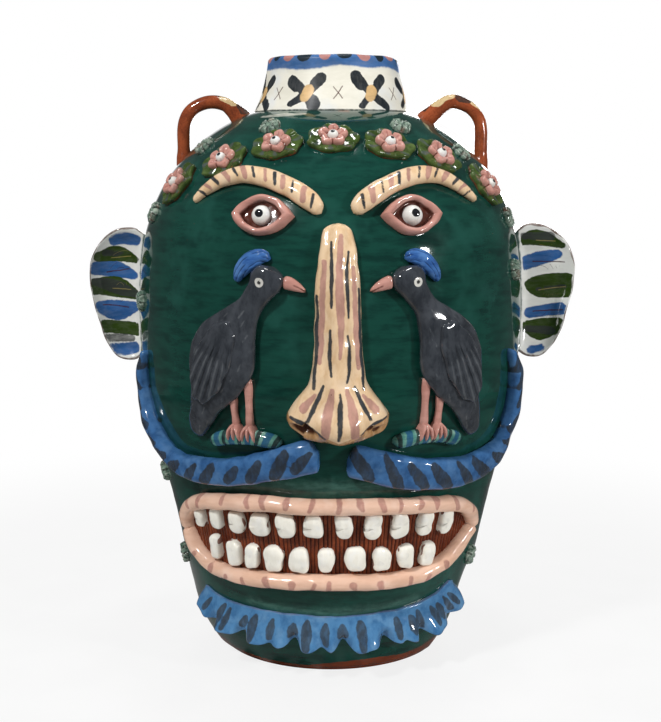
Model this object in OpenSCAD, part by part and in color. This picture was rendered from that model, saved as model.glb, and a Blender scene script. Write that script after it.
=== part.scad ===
// Face jug: a hollow thrown pot with a neck, two loop handles and a face of applied clay.
// Millimetres, +Z up. The origin is the middle of the foot's underside and the face looks along -Y.
// A place on the wall is [degrees round from the front, height], and relief is measured off the wall.

/* [Body] */
// Height of the body, from the foot to the neck
body_h = 410; // [400:2:420]
// Width of the foot
foot_d = 172; // [166:2:178]
// Width of the belly, the widest ring
belly_d = 292; // [286:2:300]
// Height of the widest ring
belly_h = 250; // [244:2:256]
// Thickness of the thrown wall
wall_t = 8; // [6:0.5:10]
// Thickness of the floor
floor_t = 10; // [8:0.5:12]

/* [Neck] */
// Width of the neck where it meets the shoulder
neck_d = 116; // [112:1:120]
// Width of the neck below its rim
mouth_d = 98; // [94:1:102]
// Height of the neck above the shoulder
neck_h = 40; // [34:1:46]
// Thickness of the neck's wall
neck_t = 7; // [6:0.5:8]

/* [Handles] */
// Thickness of the handle coil
handle_t = 10; // [8:0.5:12]
// Radius of the handle's loop, to the middle of the coil
handle_r = 22; // [19:0.5:24]
// Distance of the coil's inner end from the neck
handle_gap = 10; // [8:0.5:12]
// Height of the loop's middle below the coil's inner end
handle_drop = 10.6; // [9:0.2:11]

/* [Ears] */
// Height of an ear
ear_h = 104; // [96:2:110]
// How far an ear stands out from the wall
ear_out = 41; // [36:1:46]
// Thickness of the ear's slab
ear_t = 6; // [5:0.5:8]
// Depth of the hollow in front
ear_dish = 9; // [6:0.5:12]

/* [Mouth] */
// Width of the lip coils
lip_w = 12.5; // [11:0.5:14]
// Relief of the lip coils
lip_out = 12; // [10:0.5:14]
// Thickness of the bare slab behind the teeth
lining_t = 2.5; // [2:0.25:3.5]
// Width of the widest tooth
tooth_w = 13; // [11:0.5:14]
// Length of the upper teeth
upper_tooth_h = 18; // [16:0.5:19]
// Length of the lower teeth
lower_tooth_h = 19; // [17:0.5:20]
// Relief of the teeth off their slab
tooth_out = 6; // [5:0.5:8]

/* [Moustache and beard] */
// Widest part of the moustache coils
moustache_w = 24; // [21:1:26]
// Relief of the moustache coils
moustache_out = 11; // [9:0.5:13]
// Width of the beard frill
frill_w = 23; // [21:1:26]
// How far the frill's lower edge stands off the wall
frill_out = 15; // [12:0.5:17]

/* [Nose and eyes] */
// Width across the nostrils
nose_w = 66; // [60:1:70]
// Relief at the tip of the nose
nose_out = 25; // [20:1:30]
// Width of the brow coils
brow_w = 13; // [11:0.5:15]
// Relief of the brow coils
brow_out = 9; // [7:0.5:11]
// Width of the eyelids
lids_w = 44; // [40:1:46]
// Height of the eyelids
lids_h = 27; // [25:0.5:29]
// Relief of the eyelids
lids_out = 8; // [7:0.5:10]
// Width of an eyeball
eyeball_d = 14; // [12:0.5:15]
// Relief of an eyeball off the floor of its socket
eyeball_out = 8; // [6:0.5:10]

/* [Cheek ornaments] */
// Widest part of a bird
bird_w = 50; // [45:1:53]
// Relief of a bird
bird_out = 11; // [9:0.5:13]
// Length of a wing
wing_l = 62; // [56:1:66]
// Width of a wing
wing_w = 27; // [24:1:30]
// Relief of a wing off the bird
wing_out = 3; // [2:0.5:4]
// Width of the head's crest
crest_w = 12; // [10:0.5:13]
// Relief of the crest
crest_out = 8; // [6:0.5:9]
// Width of the beak at its root
beak_w = 9; // [8:0.5:10]
// Width of a leg
leg_w = 5; // [4:0.5:6]
// Width of the perch coil
perch_w = 10; // [8:0.5:11]
// Relief of the perch coil
perch_out = 8; // [6:0.5:9]

/* [Garland and studs] */
// Length of a leaf pad
leaf_l = 37; // [33:1:38]
// Width of a leaf pad
leaf_w = 29; // [25:1:31]
// Thickness of a leaf pad
leaf_t = 4; // [3:0.5:5]
// Width of a blossom
blossom_d = 21; // [18:0.5:23]
// Thickness of a blossom
blossom_t = 4; // [3:0.5:5]
// Width of a blossom's centre
centre_d = 7; // [5:0.5:8]
// Thickness of a blossom's centre
centre_t = 3; // [2:0.5:4]
// Width of a rosette stud
rosette_d = 16; // [13:0.5:17]
// Relief of a rosette stud
rosette_out = 4; // [3:0.5:5]

/* [Hidden] */
// Gap that slip fills between a piece and what it sits on
seat = 0.3;
// Gap left between neighbours on the wall
clearance = 0.6;
// Sizes worked out from the ones above
foot_r = foot_d / 2;
belly_r = belly_d / 2;
neck_r = neck_d / 2;
mouth_r = mouth_d / 2;
bore_r = neck_r - neck_t;
handle_x = neck_r + handle_gap + handle_r;
// Width and height of the body that the face is drawn for, and its stretch over another one
face_d = 292;
face_h = 410;
stretch = [belly_d / face_d, body_h / face_h];
// The stretch of wall over which its slope is felt
feel = body_h / 80;
// Degrees by which the middle of the face is turned from the front
face_angle = 2;
$fn = 96;

// Wall of the body: [height, swell] from the foot to the belly
FOOT_SHARES = [[0, 0], [0.05, 0.14], [0.12, 0.29], [0.24, 0.43], [0.36, 0.53], [0.48, 0.64],
    [0.64, 0.8], [0.8, 0.93], [0.92, 0.985], [1, 1]];
// Roundness of the shoulder: powers of sine and cosine round its quarter turn
SHOULDER_POWERS = [0.625, 1.6];
SHOULDER_STEPS = 20;
// Spacing of the steps, closer towards the belly
SHOULDER_SPACING = 1.3;
// Rings of a handle's outer leg, from the wall to the loop's middle
LEG_RING_SHARES = [0.3, 0.65];
// Outline of the neck: [height, flare] from the shoulder to the rim
NECK_SHARES = [[0, 1], [0.2, 0.76], [0.5, 0.42], [0.8, 0.13], [1, 0]];

// Sections of a coil: [across, relief], from its left edge over the top and back along the wall
ROUND_SHARES = [[1, 0], [0.94, 0.5], [0.62, 0.87], [0, 1], [-0.62, 0.87], [-0.94, 0.5],
    [-1, 0], [-0.5, 0], [0, 0], [0.5, 0]];
FLAT_SHARES = [[1, 0], [0.96, 0.6], [0.74, 0.93], [0, 1], [-0.74, 0.93], [-0.96, 0.6],
    [-1, 0], [-0.5, 0], [0, 0], [0.5, 0]];
SLAB_SHARES = [[1, 0], [1, 1], [0.5, 1], [0, 1], [-0.5, 1], [-1, 1],
    [-1, 0], [-0.5, 0], [0, 0], [0.5, 0]];
NOSE_SHARES = [[1, 0], [1, 0.3], [0.86, 0.55], [0.6, 0.66], [0.42, 0.8], [0.2, 0.95], [0, 1],
    [-0.2, 0.95], [-0.42, 0.8], [-0.6, 0.66], [-0.86, 0.55], [-1, 0.3], [-1, 0],
    [-0.5, 0], [0, 0], [0.5, 0]];
FRILL_SHARES = [[1, 0], [0.97, 0.24], [0.6, 0.42], [0.1, 0.62], [-0.45, 0.85], [-1, 1],
    [-0.97, 0.68], [-0.45, 0.5], [0.05, 0.26], [0.45, 0]];

// Height of a coil's core at its ends
CORE_SHARE = 0.35;

// Tiers of a pad: [size, relief] from its edge to its crown
SOLE_SHARES = [0.5, 1];
SMALL_SOLE_SHARES = [1];
DOME_SHARES = [[1, 0.4], [0.86, 0.75], [0.5, 0.95]];
PLATE_SHARES = [[1, 0.6], [0.88, 1]];
TOOTH_SHARES = [[1, 0.6], [0.84, 0.95]];
SOCKET_SHARES = [[1, 0.4], [0.9, 0.9], [0.76, 1], [0.66, 0.35]];
SOCKET_FLOOR_SHARE = 0.35;

// Coils on the wall: [degrees, height, width, relief]
UPPER_LIP_SHARES = [[-57.5, 0.283, 0.7, 0.8], [-54.5, 0.297, 1, 0.95], [-50, 0.312, 1, 1], [-43, 0.325, 1, 1],
    [-33, 0.334, 1, 1], [-21, 0.34, 1, 1], [-9, 0.341, 1, 1], [4, 0.341, 1, 1], [21, 0.337, 1, 1],
    [35, 0.331, 1, 1], [45, 0.321, 1, 1], [52, 0.302, 1, 0.95], [55.8, 0.284, 0.7, 0.8]];
LOWER_LIP_SHARES = [[-57.5, 0.268, 0.7, 0.8], [-55.5, 0.25, 1, 0.95], [-51, 0.228, 1, 1], [-45, 0.208, 1, 1],
    [-37, 0.198, 1, 1], [-27, 0.195, 1, 1], [-15, 0.195, 1, 1], [1, 0.196, 1, 1], [12, 0.194, 1, 1],
    [22, 0.193, 1, 1], [33, 0.198, 1, 1], [43, 0.216, 1, 1], [50, 0.245, 1, 0.95], [54.5, 0.268, 0.7, 0.8]];
LEFT_MOUSTACHE_SHARES = [[-63, 0.575, 0.18, 0.5], [-66.4, 0.54, 0.38, 0.8], [-68.7, 0.5, 0.42, 0.9],
    [-67.8, 0.458, 0.48, 1], [-63, 0.422, 0.58, 1], [-55, 0.394, 0.72, 1], [-46, 0.381, 0.85, 1],
    [-36.6, 0.38, 0.94, 1], [-27.8, 0.385, 1, 1], [-20, 0.392, 1, 1], [-13, 0.402, 1, 1],
    [-7.5, 0.412, 1, 1], [-3.6, 0.418, 0.86, 0.9]];
RIGHT_MOUSTACHE_SHARES = [[7.4, 0.408, 0.9, 0.9], [11.5, 0.402, 1, 1], [18.5, 0.391, 1, 1],
    [27, 0.382, 1, 1], [36, 0.377, 1, 1], [45, 0.377, 1, 1], [53, 0.384, 0.95, 1], [60.5, 0.4, 0.82, 1],
    [65.5, 0.427, 0.68, 1], [67.6, 0.463, 0.58, 1], [67.9, 0.505, 0.5, 0.9], [66, 0.545, 0.42, 0.8],
    [62.6, 0.582, 0.18, 0.5]];
FRILL_PATH_SHARES = [[-61, 0.13, 0.5, 0.45], [-52, 0.118, 0.8, 0.8], [-40, 0.107, 0.95, 1],
    [-28, 0.101, 1, 1], [-13, 0.097, 1, 1], [0, 0.096, 1, 1], [12, 0.097, 1, 1], [24, 0.1, 1, 1],
    [36, 0.104, 0.95, 1], [47, 0.117, 0.85, 0.8], [56, 0.14, 0.5, 0.45]];
// Ruffles along the frill, and how deep they cut its width and its relief
frill_ruffles = 9;
RUFFLE_SHARES = [0.08, 0.22];

// Paths of the face's pieces, in degrees out from the middle of the face
NOSE_PATH_SHARES = [[0, 0.812, 0.16, 0.2], [0, 0.8, 0.27, 0.32], [0, 0.765, 0.36, 0.42],
    [0, 0.72, 0.42, 0.48], [0, 0.66, 0.455, 0.5], [0, 0.605, 0.47, 0.54], [0, 0.565, 0.53, 0.62],
    [0, 0.54, 0.66, 0.75], [0, 0.519, 0.88, 0.9], [0, 0.503, 1, 1], [0, 0.488, 0.94, 1],
    [0, 0.475, 0.72, 0.9], [0, 0.465, 0.4, 0.6]];
BROW_SHARES = [[4.5, 0.828, 0.6, 0.6], [8, 0.845, 1, 1], [15, 0.867, 1, 1], [24, 0.882, 0.95, 1],
    [33, 0.883, 0.85, 0.95], [41, 0.868, 0.7, 0.8], [47.5, 0.842, 0.3, 0.5]];
BIRD_SHARES = [[17.2, 0.742, 0.2, 0.5], [17.8, 0.733, 0.4, 0.85], [18.8, 0.718, 0.46, 0.95],
    [20.6, 0.7, 0.38, 0.85], [23.2, 0.676, 0.36, 0.82], [26.5, 0.648, 0.6, 0.92], [29.6, 0.617, 0.92, 1],
    [32, 0.585, 1, 1], [34.6, 0.548, 0.84, 1], [38, 0.508, 0.5, 0.85], [42, 0.47, 0.36, 0.55],
    [44.6, 0.448, 0.2, 0.35]];
CREST_SHARES = [[18, 0.7575, 0.4, 0.6], [20.6, 0.7595, 0.8, 0.9], [23.4, 0.752, 1, 1], [26, 0.735, 0.8, 0.9],
    [28, 0.715, 0.3, 0.5]];
BEAK_SHARES = [[13, 0.716, 1, 1], [10.8, 0.71, 0.75, 0.85], [8.4, 0.702, 0.25, 0.5]];
LEG_SHARES = [[[24.2, 0.537], [24.6, 0.472]], [[28.9, 0.503], [28.9, 0.471]]];
PERCH_SHARES = [[15.5, 0.446, 0.6, 0.7], [18.5, 0.452, 1, 1], [25, 0.456, 1, 1], [31, 0.453, 1, 1],
    [35.5, 0.446, 1, 1], [38, 0.44, 0.6, 0.7]];
// Relief of small pieces as a share of the piece beside them
BEAK_OUT_SHARE = 0.6;
LEG_OUT_SHARE = 0.9;

// Places of single pieces: [degrees, height]
EYE_SHARES = [21.5, 0.822];
WING_SHARES = [33, 0.583];
wing_angle = 66;
// Leaves of the garland: [degrees, height], and their turn on the wall
LEAF_SHARES = [[-59.5, 0.87, 50], [-40.5, 0.91, 33], [-20.8, 0.936, 14], [1, 0.946, 0], [22.8, 0.936, -14],
    [42.5, 0.917, -33], [61, 0.867, -50]];
ROSETTE_SHARES = [[-30, 0.969], [35.5, 0.969], [-62, 0.936], [61, 0.926], [70.5, 0.812], [-71.6, 0.82],
    [68, 0.72], [-79.3, 0.336], [-78.5, 0.177], [66, 0.19], [-74, 0.66]];

// Teeth: [degrees, height, width, length]
UPPER_TEETH_SHARES = [[-46.7, 0.285, 0.62, 0.78], [-39, 0.288, 0.72, 0.92], [-30.7, 0.29, 0.85, 0.94],
    [-22.6, 0.291, 1, 1], [-13.9, 0.292, 0.94, 1], [-5.3, 0.293, 1, 1], [4.1, 0.294, 0.88, 0.97],
    [13.1, 0.292, 0.94, 1], [22.4, 0.291, 1, 1], [31.8, 0.29, 0.86, 0.98], [40.7, 0.286, 0.8, 0.95]];
LOWER_TEETH_SHARES = [[-41.6, 0.243, 0.7, 0.84], [-33.4, 0.235, 0.85, 0.92], [-26.1, 0.231, 0.8, 0.94],
    [-18.5, 0.233, 1, 1], [-10, 0.234, 1, 0.98], [-1.4, 0.236, 0.8, 0.94], [8.1, 0.237, 1, 0.92],
    [17.3, 0.234, 0.95, 0.9], [26, 0.233, 0.87, 0.93], [34.8, 0.24, 0.8, 0.86]];
// Squareness of a tooth's outline: 1 is an ellipse and 0 a box
TOOTH_SQUARE = 0.5;

// Ear: [out, up] round its outline, from the foot of its root outwards
EAR_SHARES = [[0, 0.06], [0.2, 0.01], [0.45, 0.02], [0.64, 0.1], [0.76, 0.22], [0.85, 0.34], [0.93, 0.47],
    [0.98, 0.58], [1, 0.68], [0.96, 0.79], [0.84, 0.89], [0.62, 0.97], [0.34, 1], [0.12, 0.97], [0, 0.91],
    [0, 0.74], [0, 0.57], [0, 0.4], [0, 0.23]];
EAR_MIDDLE_SHARES = [0.48, 0.5];
// Tiers of an ear: [size, hollow, thickness], from the middle of its back to the middle of its face
EAR_TIER_SHARES = [[0.5, 0.9, 1], [0.85, 0.5, 1], [1, 0, 1], [1, 0, 0], [0.85, 0.4, 0], [0.5, 0.9, 0]];
// Height of the bottom of the ears
EAR_BASE_SHARE = 0.537;

// Smooth curve through a list of points
function blend(a, b, c, d, t) =
    0.5 * (2 * b + (c - a) * t + (2 * a - 5 * b + 4 * c - d) * t * t + (3 * b - a - 3 * c + d) * t * t * t);
function curve(list, steps) =
    let (last = len(list) - 1)
    concat(
        [for (i = [0 : last - 1], k = [0 : steps - 1])
            blend(list[max(i - 1, 0)], list[i], list[i + 1], list[min(i + 2, last)], k / steps)],
        [list[last]]);

// The wall's outline from the foot to the neck, as [height, radius]
WALL = concat(
    [for (p = curve(FOOT_SHARES, 4)) [belly_h * p.x, foot_r + (belly_r - foot_r) * p.y]],
    [for (i = [1 : SHOULDER_STEPS])
        let (turn = 90 * pow(i / SHOULDER_STEPS, SHOULDER_SPACING))
        [belly_h + (body_h - belly_h) * pow(sin(turn), SHOULDER_POWERS.x),
            neck_r + (belly_r - neck_r) * pow(cos(turn), SHOULDER_POWERS.y)]]);
SHOULDER = [for (p = WALL) if (p.x > belly_h) [p.y, p.x]];

function wall_r(z) = lookup(z, WALL);
function shoulder_z(r) = lookup(r, SHOULDER);
// Angle by which the wall faces upwards
function lean(z) =
    let (low = max(z - feel, 0), high = min(z + feel, body_h))
    atan2(wall_r(low) - wall_r(high), high - low);
// Point over a place on the wall
function wall_pt(place, relief) =
    let (slope = lean(place.y), r = wall_r(place.y) + relief * cos(slope))
    [r * sin(place.x), -r * cos(place.x), place.y + relief * sin(slope)];
// Place moved along the wall, sideways and up
function moved(place, side, up) =
    [place.x + side * stretch.x / wall_r(place.y) * 180 / PI, place.y + up * stretch.y * cos(lean(place.y))];
// Place from degrees and a share of the body's height
function at(shares) = [shares.x, shares.y * body_h];
// Place from degrees out from the middle of the face, on one side of it
function on_face(shares, side) = [face_angle + side * shares.x, shares.y * body_h];

// Outlines, counter-clockwise
function oval(w, h, count, wave = 0, lobes = 1) =
    [for (i = [0 : count - 1])
        let (a = 360 * i / count, k = 1 - wave + wave * cos(lobes * a))
        [w / 2 * cos(a) * k, h / 2 * sin(a) * k]];
function almond(w, h, count) =
    [for (i = [0 : count - 1])
        let (a = 360 * i / count)
        [w / 2 * cos(a), h / 2 * sin(a) * abs(sin(a))]];
function block(w, h, count, square) =
    [for (i = [0 : count - 1])
        let (a = 360 * (i + 0.5) / count)
        [w / 2 * sign(cos(a)) * pow(abs(cos(a)), square), h / 2 * sign(sin(a)) * pow(abs(sin(a)), square)]];
function turned(outline, a) =
    [for (p = outline) [p.x * cos(a) - p.y * sin(a), p.x * sin(a) + p.y * cos(a)]];

// Closed skin over rings of points, from a first point to a last one
module skin(rings, first, last) {
    count = len(rings[0]);
    end = len(rings) * count + 1;
    function spot(ring, i) = 1 + ring * count + i % count;
    points = concat([first], [for (ring = rings) each ring], [last]);
    faces = concat(
        [for (i = [0 : count - 1]) [0, spot(0, i), spot(0, i + 1)]],
        [for (k = [0 : len(rings) - 2], i = [0 : count - 1]) each [
            [spot(k, i), spot(k + 1, i), spot(k + 1, i + 1)],
            [spot(k, i), spot(k + 1, i + 1), spot(k, i + 1)]]],
        [for (i = [0 : count - 1]) [end, spot(len(rings) - 1, i + 1), spot(len(rings) - 1, i)]]);
    polyhedron(points, faces, convexity = 6);
}

// Pad of clay round a place, seated at a height off the wall
function pad_ring(place, outline, size, relief) =
    [for (p = outline) wall_pt(moved(place, p.x * size, p.y * size), relief)];
module pad(place, outline, base, out, tiers = DOME_SHARES, crown = 1, sole = SOLE_SHARES) {
    rings = concat(
        [for (size = sole) pad_ring(place, outline, size, base)],
        [for (tier = tiers) pad_ring(place, outline, tier.x, base + out * tier.y)]);
    skin(rings, wall_pt(place, base), wall_pt(place, base + out * crown));
}

// Coil of clay along the wall: rows of [degrees, height, width, relief]
function heading(a, b) =
    let (side = (b.x - a.x) * PI / 180 * wall_r(b.y) / stretch.x,
        up = (b.y - a.y) / stretch.y / cos(lean(b.y)),
        l = norm([side, up]))
    [side / l, up / l];
function coil_ring(row, way, section, base) =
    [for (p = section)
        let (across = p.x * row[2] / 2)
        wall_pt(moved(row, -way.y * across, way.x * across), base + p.y * row[3])];
module coil(rows, section = ROUND_SHARES, base = seat) {
    last = len(rows) - 1;
    rings = [for (i = [0 : last])
        coil_ring(rows[i], heading(rows[max(i - 1, 0)], rows[min(i + 1, last)]), section, base)];
    function middle(row) = wall_pt(row, base + row[3] * CORE_SHARE);
    skin(rings, middle(rows[0]), middle(rows[last]));
}
// Rows of a coil from a table of shares
function rows(table, w, out, steps, side = 0) =
    [for (row = curve(table, steps))
        let (place = side == 0 ? at(row) : on_face(row, side))
        [place.x, place.y, w * row[2], out * row[3]]];

module body() {
    inner = [for (p = WALL)
        let (slope = lean(p.x))
        [p.y - wall_t * cos(slope), p.x - wall_t * sin(slope)]];
    last = len(WALL) - 1;
    color("darkslategray")
        rotate_extrude()
            polygon(concat(
                [[0, 0]],
                [for (p = WALL) [p.y, p.x]],
                [[bore_r, body_h]],
                [for (i = [last : -1 : 0]) if (inner[i].x > bore_r && inner[i].y > floor_t) inner[i]],
                [[wall_r(floor_t) - wall_t, floor_t], [0, floor_t]]));
}

module neck() {
    outer = [for (p = curve(NECK_SHARES, 4))
        [mouth_r + (neck_r - mouth_r) * p.y, body_h + (neck_h - neck_t / 2) * p.x]];
    last = len(outer) - 1;
    rim = [for (a = [15 : 15 : 165]) [mouth_r - neck_t / 2, body_h + neck_h - neck_t / 2]
        + neck_t / 2 * [cos(a), sin(a)]];
    color("ivory")
        rotate_extrude()
            polygon(concat(outer, rim, [for (i = [last : -1 : 0]) outer[i] - [neck_t, 0]]));
}

// Loop of coil on the shoulder, in the plane through the jug's axis
module handle() {
    coil_r = handle_t / 2;
    turns = [for (a = [0 : 12 : 144]) a];
    foot = [90, shoulder_z(handle_x + handle_r)];
    head = [90, shoulder_z(handle_x - handle_r)];
    handle_z = head.y - handle_drop;
    leg_z = shoulder_z(handle_x + handle_r - coil_r);
    function round_at(x, z, a) = [for (k = [0 : 30 : 330])
        [x + coil_r * cos(k) * cos(a), coil_r * sin(k), z + coil_r * cos(k) * sin(a)]];
    function weld(place, up, size) = [for (k = [0 : 30 : 330])
        wall_pt(moved(place, coil_r * size * sin(k), up * coil_r * size * cos(k)), seat)];
    rings = concat(
        [for (size = SOLE_SHARES) weld(foot, -1, size)],
        [for (share = LEG_RING_SHARES) round_at(handle_x + handle_r, leg_z + (handle_z - leg_z) * share, 0)],
        [for (a = turns) round_at(handle_x + handle_r * cos(a), handle_z + handle_r * sin(a), a)],
        [for (i = [len(SOLE_SHARES) - 1 : -1 : 0]) weld(head, 1, SOLE_SHARES[i])]);
    color("sienna")
        skin(rings, wall_pt(foot, seat), wall_pt(head, seat));
}
module left_handle() {
    mirror([1, 0, 0])
        handle();
}
module right_handle() {
    handle();
}

// Dished slab standing out sideways from the wall
module ear() {
    base = EAR_BASE_SHARE * body_h;
    function spot(shares, tier) =
        let (size = tier.x,
            out = EAR_MIDDLE_SHARES.x * (1 - size) + shares.x * size,
            z = base + ear_h * (EAR_MIDDLE_SHARES.y * (1 - size) + shares.y * size))
        [wall_r(z) + seat + ear_out * out, ear_t * tier.z + ear_dish * (tier.y - 1), z];
    rings = [for (tier = EAR_TIER_SHARES) [for (shares = EAR_SHARES) spot(shares, tier)]];
    color("gainsboro")
        skin(rings, spot(EAR_MIDDLE_SHARES, [0, 1, 1]), spot(EAR_MIDDLE_SHARES, [0, 1, 0]));
}
module left_ear() {
    mirror([1, 0, 0])
        ear();
}
module right_ear() {
    ear();
}

module left_moustache() {
    color("steelblue")
        coil(rows(LEFT_MOUSTACHE_SHARES, moustache_w, moustache_out, 2));
}
module right_moustache() {
    color("steelblue")
        coil(rows(RIGHT_MOUSTACHE_SHARES, moustache_w, moustache_out, 2));
}

upper_lip_rows = rows(UPPER_LIP_SHARES, lip_w, lip_out, 3);
lower_lip_rows = rows(LOWER_LIP_SHARES, lip_w, lip_out, 3);
module upper_lip() {
    color("peachpuff")
        coil(upper_lip_rows);
}
module lower_lip() {
    color("peachpuff")
        coil(lower_lip_rows);
}

// The slab fills the mouth between the lips
function lip_z(lip_rows, a) = lookup(a, [for (row = lip_rows) [row.x, row.y]]);
function mouth_row(a) =
    let (turn = lip_w / 2 / face_d * 360 / PI,
        top = min(lip_z(upper_lip_rows, a - turn), lip_z(upper_lip_rows, a + turn)),
        bottom = max(lip_z(lower_lip_rows, a - turn), lip_z(lower_lip_rows, a + turn)))
    [a, (top + bottom) / 2, (top - bottom) / stretch.y - lip_w - 2 * clearance, lining_t];
module mouth_lining() {
    color("saddlebrown")
        coil([for (a = [-50.5 : 4.5 : 49]) mouth_row(a)], SLAB_SHARES);
}

module tooth(shares, h) {
    color("white")
        pad(at(shares), block(tooth_w * shares[2], h * shares[3], 14, TOOTH_SQUARE),
            lining_t + 2 * seat, tooth_out, TOOTH_SHARES, sole = SMALL_SOLE_SHARES);
}
module upper_tooth(i) {
    tooth(UPPER_TEETH_SHARES[i - 1], upper_tooth_h);
}
module lower_tooth(i) {
    tooth(LOWER_TEETH_SHARES[i - 1], lower_tooth_h);
}

module beard_frill() {
    plain = rows(FRILL_PATH_SHARES, frill_w, frill_out, 6);
    last = len(plain) - 1;
    color("royalblue")
        coil([for (i = [0 : last])
            let (row = plain[i], wave = sin(360 * frill_ruffles * i / last))
            [row.x, row.y, row[2] * (1 + RUFFLE_SHARES.x * wave),
                row[3] * (1 - RUFFLE_SHARES.y + RUFFLE_SHARES.y * wave)]],
            FRILL_SHARES);
}

module nose() {
    color("wheat")
        coil(rows(NOSE_PATH_SHARES, nose_w, nose_out, 2, 1), NOSE_SHARES);
}

module brow(side) {
    color("navajowhite")
        coil(rows(BROW_SHARES, brow_w, brow_out, 3, side));
}
module eye_lids(side) {
    color("rosybrown")
        pad(on_face(EYE_SHARES, side), almond(lids_w, lids_h, 20), seat, lids_out, SOCKET_SHARES,
            SOCKET_FLOOR_SHARE);
}
module eyeball(side) {
    color("white")
        pad(on_face(EYE_SHARES, side), oval(eyeball_d, eyeball_d, 16),
            2 * seat + lids_out * SOCKET_FLOOR_SHARE, eyeball_out);
}

module bird(side) {
    color("dimgray")
        coil(rows(BIRD_SHARES, bird_w, bird_out, 2, side), FLAT_SHARES);
}
module wing(side) {
    color("slategray")
        pad(on_face(WING_SHARES, side), turned(oval(wing_l, wing_w, 18), -side * wing_angle),
            bird_out + 2 * seat, wing_out, PLATE_SHARES);
}
module crest(side) {
    color("cornflowerblue")
        coil(rows(CREST_SHARES, crest_w, crest_out, 2, side));
}
module beak(side) {
    color("rosybrown")
        coil(rows(BEAK_SHARES, beak_w, bird_out * BEAK_OUT_SHARE, 2, side));
}
module legs(side) {
    color("rosybrown")
        for (leg = LEG_SHARES)
            coil([for (share = [0 : 0.25 : 1])
                let (place = on_face(leg[0] * (1 - share) + leg[1] * share, side))
                [place.x, place.y, leg_w, leg_w * LEG_OUT_SHARE]]);
}
module perch(side) {
    color("teal")
        coil(rows(PERCH_SHARES, perch_w, perch_out, 2, side));
}

module leaves() {
    color("darkolivegreen")
        for (leaf = LEAF_SHARES)
            pad(at(leaf), turned(oval(leaf_l, leaf_w, 24, 0.05, 7), leaf.z), seat, leaf_t, PLATE_SHARES);
}
module blossoms() {
    color("rosybrown")
        for (leaf = LEAF_SHARES)
            pad(at(leaf), oval(blossom_d, blossom_d, 20, 0.12, 5), leaf_t + 2 * seat, blossom_t,
                sole = SMALL_SOLE_SHARES);
}
module blossom_centres() {
    color("white")
        for (leaf = LEAF_SHARES)
            pad(at(leaf), oval(centre_d, centre_d, 12), leaf_t + blossom_t + 3 * seat, centre_t,
                sole = SMALL_SOLE_SHARES);
}
module rosettes() {
    color("darkseagreen")
        for (rosette = ROSETTE_SHARES)
            pad(at(rosette), oval(rosette_d, rosette_d, 16, 0.08, 8), seat, rosette_out,
                sole = SMALL_SOLE_SHARES);
}

body();
neck();
left_handle();
right_handle();
left_ear();
right_ear();
left_moustache();
right_moustache();
upper_lip();
lower_lip();
mouth_lining();
beard_frill();
for (i = [1 : len(UPPER_TEETH_SHARES)])
    upper_tooth(i);
for (i = [1 : len(LOWER_TEETH_SHARES)])
    lower_tooth(i);
nose();
brow(-1);  // left_brow
brow(1);  // right_brow
eye_lids(-1);  // left_eye_lids
eye_lids(1);  // right_eye_lids
eyeball(-1);  // left_eyeball
eyeball(1);  // right_eyeball
bird(-1);  // left_bird
bird(1);  // right_bird
wing(-1);  // left_wing
wing(1);  // right_wing
crest(-1);  // left_crest
crest(1);  // right_crest
beak(-1);  // left_beak
beak(1);  // right_beak
legs(-1);  // left_legs
legs(1);  // right_legs
perch(-1);  // left_perch
perch(1);  // right_perch
leaves();
blossoms();
blossom_centres();
rosettes();
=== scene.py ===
import logging
import math
from dataclasses import dataclass, field
from enum import Enum
from typing import Dict, Iterable, List, Optional, Sequence, Tuple, TypeVar, Union

import bpy
import numpy as np
from mathutils import Euler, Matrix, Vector, noise


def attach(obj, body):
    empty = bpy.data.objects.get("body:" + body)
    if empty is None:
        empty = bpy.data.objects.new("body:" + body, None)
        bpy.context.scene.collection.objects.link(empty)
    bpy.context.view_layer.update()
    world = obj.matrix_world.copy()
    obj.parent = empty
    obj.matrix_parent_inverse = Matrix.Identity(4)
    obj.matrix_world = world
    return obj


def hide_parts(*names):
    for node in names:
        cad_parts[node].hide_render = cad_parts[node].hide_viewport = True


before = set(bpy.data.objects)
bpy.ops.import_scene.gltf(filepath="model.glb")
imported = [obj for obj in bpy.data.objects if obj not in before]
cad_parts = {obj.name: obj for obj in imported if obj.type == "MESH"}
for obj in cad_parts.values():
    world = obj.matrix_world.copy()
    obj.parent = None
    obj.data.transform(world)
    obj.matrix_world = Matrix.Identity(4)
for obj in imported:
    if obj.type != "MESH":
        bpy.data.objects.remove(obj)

MM = 0.001
BODY = "root"
PHOTO_SIZE = (661, 722)
SINK = 1.6
FAR = -50.0
NOISE_SEED = 7

Array = np.ndarray
Colour = Tuple[int, int, int]
Pair = Tuple[float, float]
Trio = Tuple[float, float, float]
Row = Tuple[float, float, float, float]
Mark = Tuple[float, float, float, float, float, float]
Socket = bpy.types.NodeSocket
Level = Union[float, Socket]
Kind = TypeVar("Kind")

log = logging.getLogger("face_jug")


class Side(Enum):
    """Which side of the face a piece is on, as the viewer sees it."""

    LEFT = -1
    RIGHT = 1

    @property
    def word(self) -> str:
        """Name of the side in the names of the nodes."""
        return self.name.lower()

    def of(self, pair: Tuple[Kind, Kind]) -> Kind:
        """The left or the right one of a pair."""
        return pair[self is Side.RIGHT]


class Section(Enum):
    """How a coil is rounded: powers of its width and height, and the height of its widest place."""

    ROUND = (0.86, 0.9, 0.4)
    FLAT = (0.7, 0.62, 0.35)


class MarkKind(Enum):
    """How a brush mark is laid on the glaze."""

    FILL = "fill"
    LINE = "line"
    WASH = "wash"


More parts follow.
